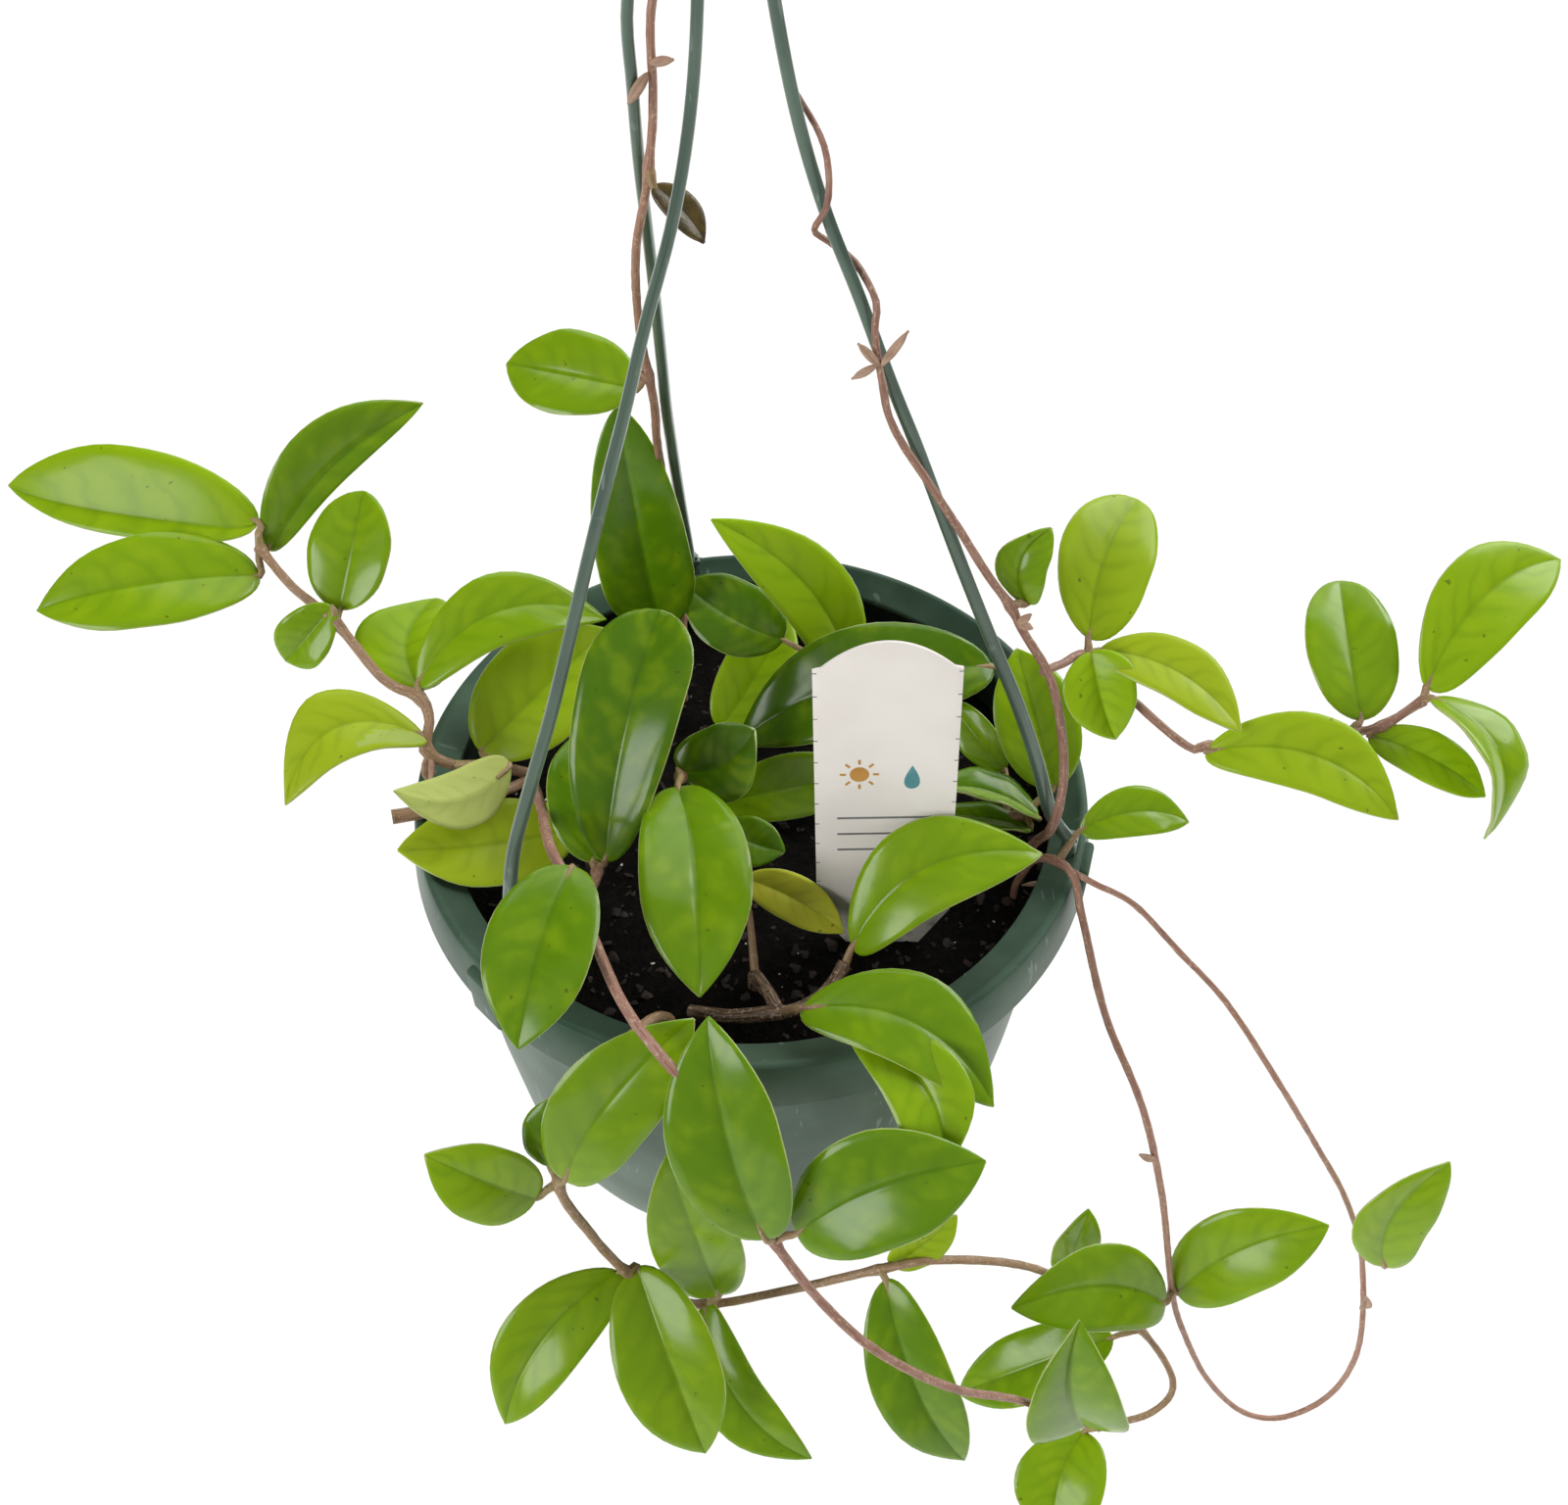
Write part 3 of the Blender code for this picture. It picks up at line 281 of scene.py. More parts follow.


# Waxy leaf: a smooth skin with a soft broad shine, over flesh mottled between faint darker veins, with
# painted shade along the midrib groove
def leafSkin(name, look):
    made, tree, shader = newMaterial(name, {
        "IOR": 1.38, "Specular IOR Level": look["shine"], "Coat Roughness": 0.16,
        "Subsurface Weight": look["glow"], "Subsurface Radius": (0.6, 1.0, 0.1),
        "Subsurface Scale": 0.002})
    spot = addNode(tree, "ShaderNodeUVMap", uv_map="leafPlace").outputs[0]
    spot = addNode(tree, "ShaderNodeSeparateXYZ", {"Vector": spot}).outputs
    side = calc(tree, "ABSOLUTE", calc(tree, "MULTIPLY_ADD", spot[1], 2.0, -1.0))
    tone = addNode(tree, "ShaderNodeAttribute", attribute_name="leafTone").outputs["Fac"]
    flesh = addNode(tree, "ShaderNodeValToRGB", {"Fac": tone})
    stops = flesh.color_ramp.elements
    for at, (share, code) in enumerate(look["tones"]):
        stop = stops[at] if at < 2 else stops.new(share)
        stop.position = share
        stop.color = toLinear(code)
    drift = calc(tree, "MULTIPLY", calc(tree, "SUBTRACT", grain(tree, 11.0, 3.0), 0.5), 1.5)
    slant = calc(tree, "MULTIPLY", side, calc(tree, "MULTIPLY_ADD", side, 0.12, 0.14))
    phase = calc(tree, "MULTIPLY", calc(tree, "SUBTRACT", spot[0], slant), look["veins"])
    share = calc(tree, "FRACT", calc(tree, "ADD", phase, drift))
    near = calc(tree, "ABSOLUTE", calc(tree, "SUBTRACT", share, 0.5))
    inward = ranged(tree, side, 0.35, 0.9, 1.0, 0.0)
    vein = calc(tree, "MULTIPLY", ranged(tree, near, 0.0, 0.3, 1.0, 0.0), inward)
    cloud = ranged(tree, grain(tree, 9.0, 2.0), 0.38, 0.72)
    cloud = calc(tree, "MULTIPLY", cloud, ranged(tree, near, 0.05, 0.4, 0.4, 1.0))
    lively = mixed(tree, 0.5, flesh.outputs[0], look["bright"])
    colour = mixed(tree, calc(tree, "MULTIPLY", cloud, look["cloud"]), flesh.outputs[0], lively)
    shade = mixed(tree, 1.0, colour, look["dark"], "MULTIPLY")
    clear = ranged(tree, tone, 0.5, 0.7, look["veinDark"], look["veinDark"] * 2.2)
    colour = mixed(tree, calc(tree, "MULTIPLY", vein, clear), colour, shade)
    speck = ranged(tree, grain(tree, 2.0, 0.0), 0.83, 0.87, 0.0, look["specks"])
    colour = mixed(tree, speck, colour, "#4d4416")
    # painted shade: the colour darkens along the midrib, where the groove is
    rib = ranged(tree, side, 0.0, 0.12, 1.0, 0.0)
    colour = mixed(tree, calc(tree, "MULTIPLY", rib, look["ribGrooveShade"]), colour, shade)
    tree.links.new(colour, shader.inputs["Base Color"])
    dull = ranged(tree, tone, 0.5, 0.8, look["roughness"], look["roughness"] + 0.14)
    tree.links.new(dull, shader.inputs["Roughness"])
    wax = ranged(tree, tone, 0.5, 0.8, look["coat"], look["coat"] * 0.3)
    tree.links.new(wax, shader.inputs["Coat Weight"])
    relief = calc(tree, "MULTIPLY_ADD", vein, -0.4, calc(tree, "MULTIPLY", grain(tree, 3.0), 0.5))
    addBump(tree, shader, relief, 0.2, look["bump"])
    return made


# Leaf edge: the flesh seen through the skin, paler than both faces
def leafRim():
    made, tree, shader = newMaterial("waxyLeafEdge", {
        "Roughness": 0.3, "Subsurface Weight": 0.3, "Subsurface Scale": 0.002, "Coat Weight": 0.3})
    colour = mixed(tree, grain(tree, 4.0), "#7d9a3c", "#c3d08c")
    tree.links.new(colour, shader.inputs["Base Color"])
    return made


# Vine skin: green-brown to reddish, matt, with fine lengthwise lines and small pale corky dots
def vineSkin():
    made, tree, shader = newMaterial("vineSkin", {"Roughness": 0.5, "Subsurface Weight": 0.05,
                                                  "Subsurface Scale": 0.001})
    tone = addNode(tree, "ShaderNodeAttribute", attribute_name="stemTone").outputs["Fac"]
    reach = addNode(tree, "ShaderNodeAttribute", attribute_name="reach").outputs["Fac"]
    turn = addNode(tree, "ShaderNodeAttribute", attribute_name="turn").outputs["Fac"]
    ramp = addNode(tree, "ShaderNodeValToRGB", {"Fac": tone})
    stops = ramp.color_ramp.elements
    stops[0].color = toLinear("#948648")
    stops[1].color = toLinear("#473322")
    for share, code in ((0.4, "#8e6d4b"), (0.85, "#99695a")):
        stops.new(share).color = toLinear(code)
    around = calc(tree, "MULTIPLY", turn, 26.0)
    lengthwise = calc(tree, "MULTIPLY", reach, 160.0)
    along = addNode(tree, "ShaderNodeCombineXYZ", {0: around, 1: lengthwise, 2: 0.0}).outputs[0]
    sockets = {"Vector": along, "Scale": 1.0, "Detail": 2.0}
    streak = addNode(tree, "ShaderNodeTexNoise", sockets).outputs["Fac"]
    colour = mixed(tree, ranged(tree, streak, 0.4, 0.65, 0.0, 0.45), ramp.outputs[0], "#c2a58e")
    colour = mixed(tree, ranged(tree, grain(tree, 5.0), 0.5, 0.75, 0.0, 0.35), colour, "#5a3d31")
    colour = mixed(tree, ranged(tree, grain(tree, 0.9, 0.0), 0.66, 0.72, 0.0, 0.6), colour, "#c2a88c")
    tree.links.new(colour, shader.inputs["Base Color"])
    addBump(tree, shader, streak, 0.15, 0.6)
    return made


# Young scale leaves and aerial roots: thin, dry, pale pinkish tips
def scaleSkin():
    made, tree, shader = newMaterial("dryScale", {"Roughness": 0.6})
    colour = mixed(tree, grain(tree, 3.0), "#7d5343", "#cdb096")
    tree.links.new(colour, shader.inputs["Base Color"])
    return made


# Bark and peat mix: near black and damp, crumbly
def mixSkin():
    made, tree, shader = newMaterial("barkAndPeat", {"Roughness": 0.9, "Specular IOR Level": 0.12})
    colour = mixed(tree, ranged(tree, grain(tree, 2.6, 5.0), 0.4, 0.66), "#040302", "#120d09")
    colour = mixed(tree, ranged(tree, grain(tree, 9.0, 2.0), 0.45, 0.8, 0.0, 0.6), colour, "#080604")
    tree.links.new(colour, shader.inputs["Base Color"])
    addBump(tree, shader, grain(tree, 1.1, 6.0), 1.2, 0.8)
    return made


def crumbSkin(name, dark, light, roughness):
    made, tree, shader = newMaterial(name, {"Roughness": roughness})
    colour = mixed(tree, ranged(tree, grain(tree, 4.0, 3.0), 0.35, 0.65), dark, light)
    tree.links.new(colour, shader.inputs["Base Color"])
    addBump(tree, shader, grain(tree, 0.6, 3.0), 0.25, 0.6)
    return made


# Heights between which the label's soil stains fade, in metres from the hook
stainHeights = (-0.362, -0.335)


# Polystyrene sheet label: smooth off-white, silk sheen, faint soil stains low down
def labelSheet():
    made, tree, shader = newMaterial("labelSheet", {"Roughness": 0.42, "IOR": 1.55, "Coat Weight": 0.15})
    spot = addNode(tree, "ShaderNodeTexCoord").outputs["Object"]
    height = addNode(tree, "ShaderNodeSeparateXYZ", {"Vector": spot}).outputs[2]
    low = ranged(tree, height, *stainHeights, 1.0, 0.0)
    colour = mixed(tree, ranged(tree, grain(tree, 22.0), 0.3, 0.75), "#eee7df", "#f5efe8")
    stain = calc(tree, "MULTIPLY", low, ranged(tree, grain(tree, 5.0, 4.0), 0.45, 0.7, 0.0, 0.7))
    colour = mixed(tree, stain, colour, "#8b7c68")
    tree.links.new(colour, shader.inputs["Base Color"])
    addBump(tree, shader, grain(tree, 1.5), 0.03, 0.3)
    return made


plastics = {
    "potPolypropylene": {
        "colour": "#3a4f41", "dusty": "#4f6454", "roughness": 0.38, "coat": 0.0, "shine": 0.2,
        "dust": 0.03, "scratch": 0.3, "bump": 0.35, "paintedInnerShade": True},
    "hangerPolypropylene": {
        "colour": "#3a4c41", "dusty": "#4c5e51", "roughness": 0.28, "coat": 0.9, "shine": 0.8,
        "dust": 0.3, "scratch": 0.3, "bump": 0.25, "paintedInnerShade": False},
}
leafLooks = {
    "waxyLeafTop": {
        "roughness": 0.26, "shine": 0.2, "coat": 0.45, "glow": 0.2, "veins": 6.0, "cloud": 0.45,
        "specks": 0.6, "veinDark": 0.12, "ribGrooveShade": 0.35, "bump": 0.25, "bright": "#a9c21c",
        "dark": "#b4c8a0",
        "tones": ((0.0, "#345308"), (0.35, "#57800a"), (0.7, "#8caf0d"), (1.0, "#bcbc36"))},
    "waxyLeafUnder": {
        "roughness": 0.5, "shine": 0.3, "coat": 0.05, "glow": 0.2, "veins": 6.0, "cloud": 0.25,
        "specks": 0.3, "veinDark": 0.1, "ribGrooveShade": 0.2, "bump": 0.5, "bright": "#c0d070", "dark": "#d0dcc0",
        "tones": ((0.0, "#5c7a2c"), (0.35, "#7c9a3a"), (0.7, "#9ab24c"), (1.0, "#b4bf68"))},
}
potPlastic = mouldedPlastic("potPolypropylene", plastics["potPolypropylene"])
hangerPlastic = mouldedPlastic("hangerPolypropylene", plastics["hangerPolypropylene"])
leafTop = leafSkin("waxyLeafTop", leafLooks["waxyLeafTop"])
leafUnder = leafSkin("waxyLeafUnder", leafLooks["waxyLeafUnder"])
leafEdge = leafRim()
vineMaterial = vineSkin()
scaleMaterial = scaleSkin()
brownLeaf = crumbSkin("youngBrownLeaf", "#3c3110", "#5a4a1c", 0.35)
mixMaterial = mixSkin()
barkMaterial = crumbSkin("barkChip", "#100a06", "#30211a", 0.8)
perliteMaterial = crumbSkin("perlite", "#cfc8b8", "#efeae0", 0.8)
labelMaterial = labelSheet()
print("materials made")


# The pot: turned wall with a lip and a hollow band, three strand pockets, drain holes
pot = {
    "rim": 100.0, "band": 103.5, "bandDepth": 15.0, "lip": 9.5, "turns": 160, "edge": 0.45,
    "innerWall": ((92.0, -26.0), (90.4, -60.0), (87.8, -95.0), (84.6, -121.0), (80.5, -134.0),
                  (73.0, -139.5)),
    "body": ((94.5, -20.0), (92.9, -55.0), (90.3, -90.0), (87.6, -117.0), (86.2, -130.0), (84.6, -136.5)),
    "drains": 6, "drainRadius": 4.0, "drainCircle": 50.0,
}
pocket = {
    "azimuths": (104.0, 225.0, 344.0), "width": 13.0, "inner": 93.4, "outer": 103.9,
    "top": -1.6, "bottom": -20.5, "slotRadius": 96.5, "slotWidth": 6.2, "slotDepth": 3.9,
}


def soften(piece, width, limit=30.0):
    bevel = piece.modifiers.new("soften", "BEVEL")
    bevel.width = width * mm
    bevel.segments = 2
    bevel.limit_method = "ANGLE"
    bevel.angle_limit = math.radians(limit)


def turned(name, profile, turns, material):
    bm = bmesh.new()
    points = [bm.verts.new(Vector((radius, 0.0, height)) * mm) for radius, height in profile]
    edges = [bm.edges.new(pair) for pair in zip(points, points[1:])]
    bmesh.ops.spin(bm, geom=points + edges, cent=(0, 0, 0), axis=(0, 0, 1), angle=math.tau,
                   steps=turns, use_merge=True, use_duplicate=False)
    bmesh.ops.remove_doubles(bm, verts=bm.verts, dist=0.00001)
    bmesh.ops.recalc_face_normals(bm, faces=bm.faces)
    piece = fromBmesh(name, bm, material)
    piece.data.transform(Matrix.Translation(place((0, 0, 0))))
    return piece


def block(name, size, matrix, edge):
    bm = bmesh.new()
    bmesh.ops.create_cube(bm, size=1.0)
    bmesh.ops.scale(bm, vec=Vector(size) * mm, verts=bm.verts)
    if edge:
        bmesh.ops.bevel(bm, geom=bm.edges, offset=edge * mm, segments=3, profile=0.5, affect="EDGES")
    piece = fromBmesh(name, bm)
    piece.matrix_world = matrix
    return piece


def standing(azimuth, radius, height):
    turn = Matrix.Rotation(math.radians(azimuth), 4, "Z")
    return Matrix.Translation(place(polar(azimuth, radius, height))) @ turn


def makePot():
    lip = pot["rim"] - pot["lip"]
    inside = [(0.0, -139.5), *reversed(pot["innerWall"]), (92.6, -8.0), (lip, -5.2), (lip, -3.2)]
    band = [(97.0, -0.6), (98.2, 0.45), (99.0, 0.8), (100.0, 0.75), (100.8, 0.2), (101.6, -3.0),
            (pot["band"], -pot["bandDepth"]), (pot["band"] - 1.7, -pot["bandDepth"]), (98.6, -2.6),
            (95.4, -3.8)]
    foot = [(77.0, -142.0), (74.0, -143.0), (69.0, -143.0), (67.0, -141.4), (0.0, -141.4)]
    shell = turned("potShell", [*inside, *band, *pot["body"], *foot], pot["turns"], potPlastic)
    soften(shell, pot["edge"], 28.0)
    middle = (pocket["top"] + pocket["bottom"]) / 2
    tall = pocket["top"] - pocket["bottom"]
    deep = pocket["outer"] - pocket["inner"]
    tools = []
    for azimuth in pocket["azimuths"]:
        box = block("pocketBox", (deep, pocket["width"], tall),
                    standing(azimuth, pocket["inner"] + deep / 2, middle), 1.5)
        tools.append(cutWith(shell, box, "UNION"))
        hole = block("pocketSlot", (pocket["slotDepth"], pocket["slotWidth"], tall + 20.0),
                     standing(azimuth, pocket["slotRadius"], middle), 0.0)
        tools.append(cutWith(shell, hole))
    for number in range(pot["drains"]):
        spot = polar(360.0 * number / pot["drains"], pot["drainCircle"], -140.0)
        bm = bmesh.new()
        bmesh.ops.create_cone(bm, cap_ends=True, segments=24, radius1=pot["drainRadius"] * mm,
                              radius2=pot["drainRadius"] * mm, depth=12 * mm)
        drill = fromBmesh("drainDrill", bm)
        drill.matrix_world = Matrix.Translation(place(spot))
        tools.append(cutWith(shell, drill))
    bpy.context.view_layer.update()
    settle(shell, 40.0)
    for tool in tools:
        bpy.data.objects.remove(tool)
    return shell


shell = makePot()
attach(shell, "root")
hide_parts("pot")
print("pot made:", len(shell.data.polygons), "faces")


# The potting mix: a crumbly crown, with bark chips, fine crumbs and perlite strewn on it
mix = {"level": -21.0, "crown": 3.0, "bump": 0.9, "rough": 1.1, "rings": 46, "spokes": 150}
strewn = (
    {"material": barkMaterial, "density": 26000.0, "least": 0.6, "most": 2.0, "flat": 0.45, "seed": 3},
    {"material": barkMaterial, "density": 6500.0, "least": 1.4, "most": 3.6, "flat": 0.35, "seed": 8},
    {"material": perliteMaterial, "density": 2200.0, "least": 0.3, "most": 1.0, "flat": 0.8, "seed": 5},
)


def mixHeight(x, y):
    far = math.hypot(x, y) / 100.0
    lumps = math.sin(x * 0.21 + 1.0) * math.sin(y * 0.17) + 0.6 * math.sin(x * 0.09 - y * 0.27)
    fade = max(0.0, 1.0 - (far / 0.86) ** 6)
    fine = noise.fractal(Vector((x, y, 0.0)) * 0.16, 0.8, 2.1, 4) * mix["rough"]
    return mix["level"] + mix["crown"] * (1.0 - far ** 2) + (mix["bump"] * lumps + fine) * fade


def makeMix():
    bm = bmesh.new()
    wall = [(radius - 0.9, height + 0.4) for radius, height in pot["innerWall"]]
    edge = wall[0][0]
    profile = [(edge * ring / mix["rings"], None) for ring in range(1, mix["rings"] + 1)] + wall
    rows = []
    for radius, height in profile:
        row = []
        for spoke in range(mix["spokes"]):
            spot = polar(360.0 * spoke / mix["spokes"], radius, height or 0.0)
            spot.z = mixHeight(spot.x, spot.y) if height is None else height
            row.append(bm.verts.new(place(spot)))
        rows.append(row)
    top = bm.verts.new(place((0, 0, mixHeight(0, 0))))
    bottom = bm.verts.new(place((0, 0, wall[-1][1])))
    for at in range(mix["spokes"]):
        after = (at + 1) % mix["spokes"]
        bm.faces.new((top, rows[0][at], rows[0][after]))
        bm.faces.new((bottom, rows[-1][after], rows[-1][at]))
        for upper, lower in zip(rows, rows[1:]):
            bm.faces.new((upper[at], lower[at], lower[after], upper[after]))
    return settle(fromBmesh("pottingMix", bm, mixMaterial), 70.0)


def strewTree(material):
    tree = bpy.data.node_groups.new("strew_" + material.name, "GeometryNodeTree")
    tree.interface.new_socket("Ground", in_out="INPUT", socket_type="NodeSocketGeometry")
    for name in ("Density", "Least", "Most", "Flat"):
        tree.interface.new_socket(name, in_out="INPUT", socket_type="NodeSocketFloat")
    tree.interface.new_socket("Seed", in_out="INPUT", socket_type="NodeSocketInt")
    tree.interface.new_socket("Bits", in_out="OUTPUT", socket_type="NodeSocketGeometry")
    given = addNode(tree, "NodeGroupInput").outputs
    normal = addNode(tree, "GeometryNodeInputNormal").outputs[0]
    up = addNode(tree, "ShaderNodeSeparateXYZ", {"Vector": normal})
    level = addNode(tree, "FunctionNodeCompare", {0: up.outputs[2], 1: 0.3}, operation="GREATER_THAN")
    spread = addNode(tree, "GeometryNodeDistributePointsOnFaces", {"Mesh": given["Ground"],
                     "Selection": level.outputs[0], "Density": given["Density"], "Seed": given["Seed"]})
    bit = addNode(tree, "GeometryNodeMeshIcoSphere", {"Radius": 0.5, "Subdivisions": 2}).outputs[0]
    lump = addNode(tree, "ShaderNodeTexNoise", {"Scale": 2.2, "Detail": 1.0}).outputs["Color"]
    sockets = {0: lump, 1: (0.5, 0.5, 0.5)}
    lump = addNode(tree, "ShaderNodeVectorMath", sockets, operation="SUBTRACT").outputs[0]
    bit = addNode(tree, "GeometryNodeSetPosition", {"Geometry": bit, "Offset": lump}).outputs[0]
    spin = addNode(tree, "FunctionNodeRandomValue", {"Min": (-0.5, -0.5, 0.0), "Max": (0.5, 0.5, 6.28),
                   "Seed": given["Seed"]}, data_type="FLOAT_VECTOR").outputs[0]
    sockets = {2: given["Least"], 3: given["Most"], "Seed": given["Seed"]}
    size = addNode(tree, "FunctionNodeRandomValue", sockets, data_type="FLOAT").outputs[1]
    sockets = {2: 1.0, 3: 1.9, "Seed": 21}
    long = addNode(tree, "FunctionNodeRandomValue", sockets, data_type="FLOAT").outputs[1]
    wide = calc(tree, "MULTIPLY", size, long)
    deep = calc(tree, "MULTIPLY", size, given["Flat"])
    scale = addNode(tree, "ShaderNodeCombineXYZ", {0: wide, 1: size, 2: deep}).outputs[0]
    bits = addNode(tree, "GeometryNodeInstanceOnPoints", {"Points": spread.outputs[0], "Instance": bit,
                   "Rotation": spin, "Scale": scale}).outputs[0]
    bits = addNode(tree, "GeometryNodeRealizeInstances", {"Geometry": bits}).outputs[0]
    bits = addNode(tree, "GeometryNodeSetMaterial", {"Geometry": bits, "Material": material}).outputs[0]
    addNode(tree, "NodeGroupOutput", {"Bits": bits})
    return tree


ground = makeMix()
heaps = []
for number, kind in enumerate(strewn):
    heap = newPiece(f"mixBits{number}", ground.data.copy())
    giveNodes(heap, strewTree(kind["material"]), {"Density": kind["density"], "Least": kind["least"] * mm,
              "Most": kind["most"] * mm, "Flat": kind["flat"], "Seed": kind["seed"]})
    settle(heap, 50.0)
    heap.data.materials.clear()
    heap.data.materials.append(kind["material"])
    heaps.append(heap)
fuse(ground, heaps)
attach(ground, "root")
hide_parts("soil")
print("potting mix made:", len(ground.data.polygons), "faces")


# The stake label: an arched sheet with small shoulders, cut ticks down its edges, care signs
label = {
    "width": 38.0, "thick": 0.9, "foot": (39.0, -46.0, -21.0), "above": 112.0, "taper": 15.0, "below": 12.0,
    "leanBack": 7.0, "leanLeft": 2.0, "archRise": 8.0, "archShare": 0.885, "pointWidth": 3.0,
    "inkThick": 0.06, "lineWidth": 0.7, "lineStart": -13.0,
    "lines": ((52.0, 26.0), (46.0, 26.0), (40.0, 18.0)),       # height and length of each ruled line
    "sun": (-7.0, 68.0), "sunRadius": 2.6, "rays": 8, "rayReach": (3.6, 5.2),
    "drop": (7.0, 66.8), "dropWidth": 2.9, "dropHeight": 4.2,
    "ticks": 12, "tickStep": 7.5, "tickStart": 20.0, "tickWidth": 0.28, "tickLength": 1.1,
}
inkMaterials = {
    "greyInk": crumbSkin("greyInk", "#6d6f6c", "#77797a", 0.55),
    "ochreInk": crumbSkin("ochreInk", "#c08a3c", "#c99548", 0.55),
    "tealInk": crumbSkin("tealInk", "#4f8c94", "#5a979e", 0.55),
}


def labelFrame():
    lean = Matrix.Rotation(math.radians(-label["leanBack"]), 4, "X")
    roll = Matrix.Rotation(math.radians(-label["leanLeft"]), 4, "Y")
    return Matrix.Translation(place(label["foot"])) @ lean @ roll


def flatShape(name, outline, front, back, material, edge=0.0):      # outline in mm on the label's face
    bm = bmesh.new()
    face = bm.faces.new([bm.verts.new(Vector((x, back, z)) * mm) for x, z in outline])
    pushed = bmesh.ops.extrude_face_region(bm, geom=[face])
    moved = [item for item in pushed["geom"] if isinstance(item, bmesh.types.BMVert)]
    bmesh.ops.translate(bm, verts=moved, vec=(0, (front - back) * mm, 0))
    bmesh.ops.recalc_face_normals(bm, faces=bm.faces)
    piece = fromBmesh(name, bm, material)
    if edge:
        soften(piece, edge)
    piece.matrix_world = labelFrame()
    bpy.context.view_layer.update()
    return settle(piece, 30.0)


def disc(x, z, radius, corners=28):
    return [(x + radius * math.cos(math.tau * at / corners), z + radius * math.sin(math.tau * at / corners))
            for at in range(corners)]


def strip(start, stop, width):
    way = (Vector(stop) - Vector(start)).normalized() * width / 2
    aside = Vector((-way.y, way.x))
    return [tuple(Vector(start) + aside), tuple(Vector(start) - aside), tuple(Vector(stop) - aside),
            tuple(Vector(stop) + aside)]


def makeLabel():
    half = label["width"] / 2
    rise = label["archRise"]
    shoulder = label["above"] - rise
    angles = [math.radians(at) for at in range(0, 181, 5)]
    arch = [(half * label["archShare"] * math.cos(at), shoulder + rise * math.sin(at) ** 2) for at in angles]
    point, low = label["pointWidth"], -label["below"]
    outline = [(-half, shoulder - 0.5), (-half, label["taper"]), (-point, low + 1.0), (0.0, low),
               (point, low + 1.0), (half, label["taper"]), (half, shoulder - 0.5), *arch]
    thick = label["thick"] / 2
    sheet = flatShape("stakeLabel", outline, -thick, thick, labelMaterial, 0.15)
    shapes = []
    for z, length in label["lines"]:
        line = strip((label["lineStart"], z), (label["lineStart"] + length, z), label["lineWidth"])
        shapes.append(("ruledLine", line, "greyInk"))
    shapes.append(("sunDisc", disc(*label["sun"], label["sunRadius"]), "ochreInk"))
    spot = Vector(label["sun"])
    near, far = label["rayReach"]
    for ray in range(label["rays"]):
        angle = math.tau * ray / label["rays"]
        way = Vector((math.cos(angle), math.sin(angle)))
        shapes.append(("sunRay", strip(spot + way * near, spot + way * far, label["lineWidth"]), "ochreInk"))
    x, z = label["drop"]
    turns = [math.tau * at / 30 for at in range(30)]
    drop = [(x + label["dropWidth"] * math.sin(turn) * math.sin(turn / 2) ** 1.3,
             z + label["dropHeight"] * math.cos(turn)) for turn in turns]
    shapes.append(("waterDrop", drop, "tealInk"))
    for side in (-1, 1):
        for step in range(label["ticks"]):
            z = label["tickStart"] + label["tickStep"] * step
            start, stop = side * (half + 0.02), side * (half - label["tickLength"])
            shapes.append(("edgeTick", strip((start, z), (stop, z), label["tickWidth"]), "greyInk"))
    ink = -thick - label["inkThick"]
    return fuse(sheet, [flatShape(name, shape, ink, 0.0, inkMaterials[colour])
                        for name, shape, colour in shapes])


stake = makeLabel()
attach(stake, "root")
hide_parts("plant_label")
print("label made")


# The hanger: three ridged strands with flat feet, a hub and an open hook
hanger = {
    "hubX": -6.0, "hubHeight": 285.0, "hookCentre": 329.0, "hookRadius": 15.0, "hookRod": 3.0,
    "topRadius": 1.3, "footRadius": 2.1, "footTop": 6.0, "coreShare": 0.96, "ridgeShare": 0.42,
    "ridgeOut": 0.72, "footPlay": 0.7, "collar": (1.4, 1.6, 2.2), "collarHeight": 3.4,
    "run": ((96.5, 4.0), (89.0, 14.0), (81.0, 35.0), (72.0, 56.0), (63.0, 75.0), (54.0, 97.0), (46.0, 117.0),
            (39.0, 134.0), (32.0, 150.0), (24.0, 170.0), (16.0, 189.0), (11.0, 208.0), (8.0, 228.0),
            (6.0, 250.0), (5.0, 284.65)),
    "bows": (
        ((4.0, 0.0), (50.0, -5.5), (90.0, -10.4), (130.0, -13.7), (190.0, -19.0), (225.0, -20.0),
         (285.0, 0.0)),
        ((4.0, 0.0), (30.0, -4.0), (165.0, -3.8), (190.0, -3.0), (225.0, -1.2), (285.0, 0.0)),
        ((4.0, 0.0), (30.0, 1.3), (70.0, 3.0), (110.0, 2.2), (190.0, 2.5), (225.0, 1.0), (285.0, 0.0)),
    ),
}
hangerSkin = skinTree(hangerPlastic)


def strandCentre(number, height):
    outward = between([(high, away) for away, high in hanger["run"]], height)
    centre = polar(pocket["azimuths"][number], outward, height)
    gather = max(0.0, height / hanger["hubHeight"]) ** 6
    centre.x += between(hanger["bows"][number], height) + hanger["hubX"] * gather
    return centre


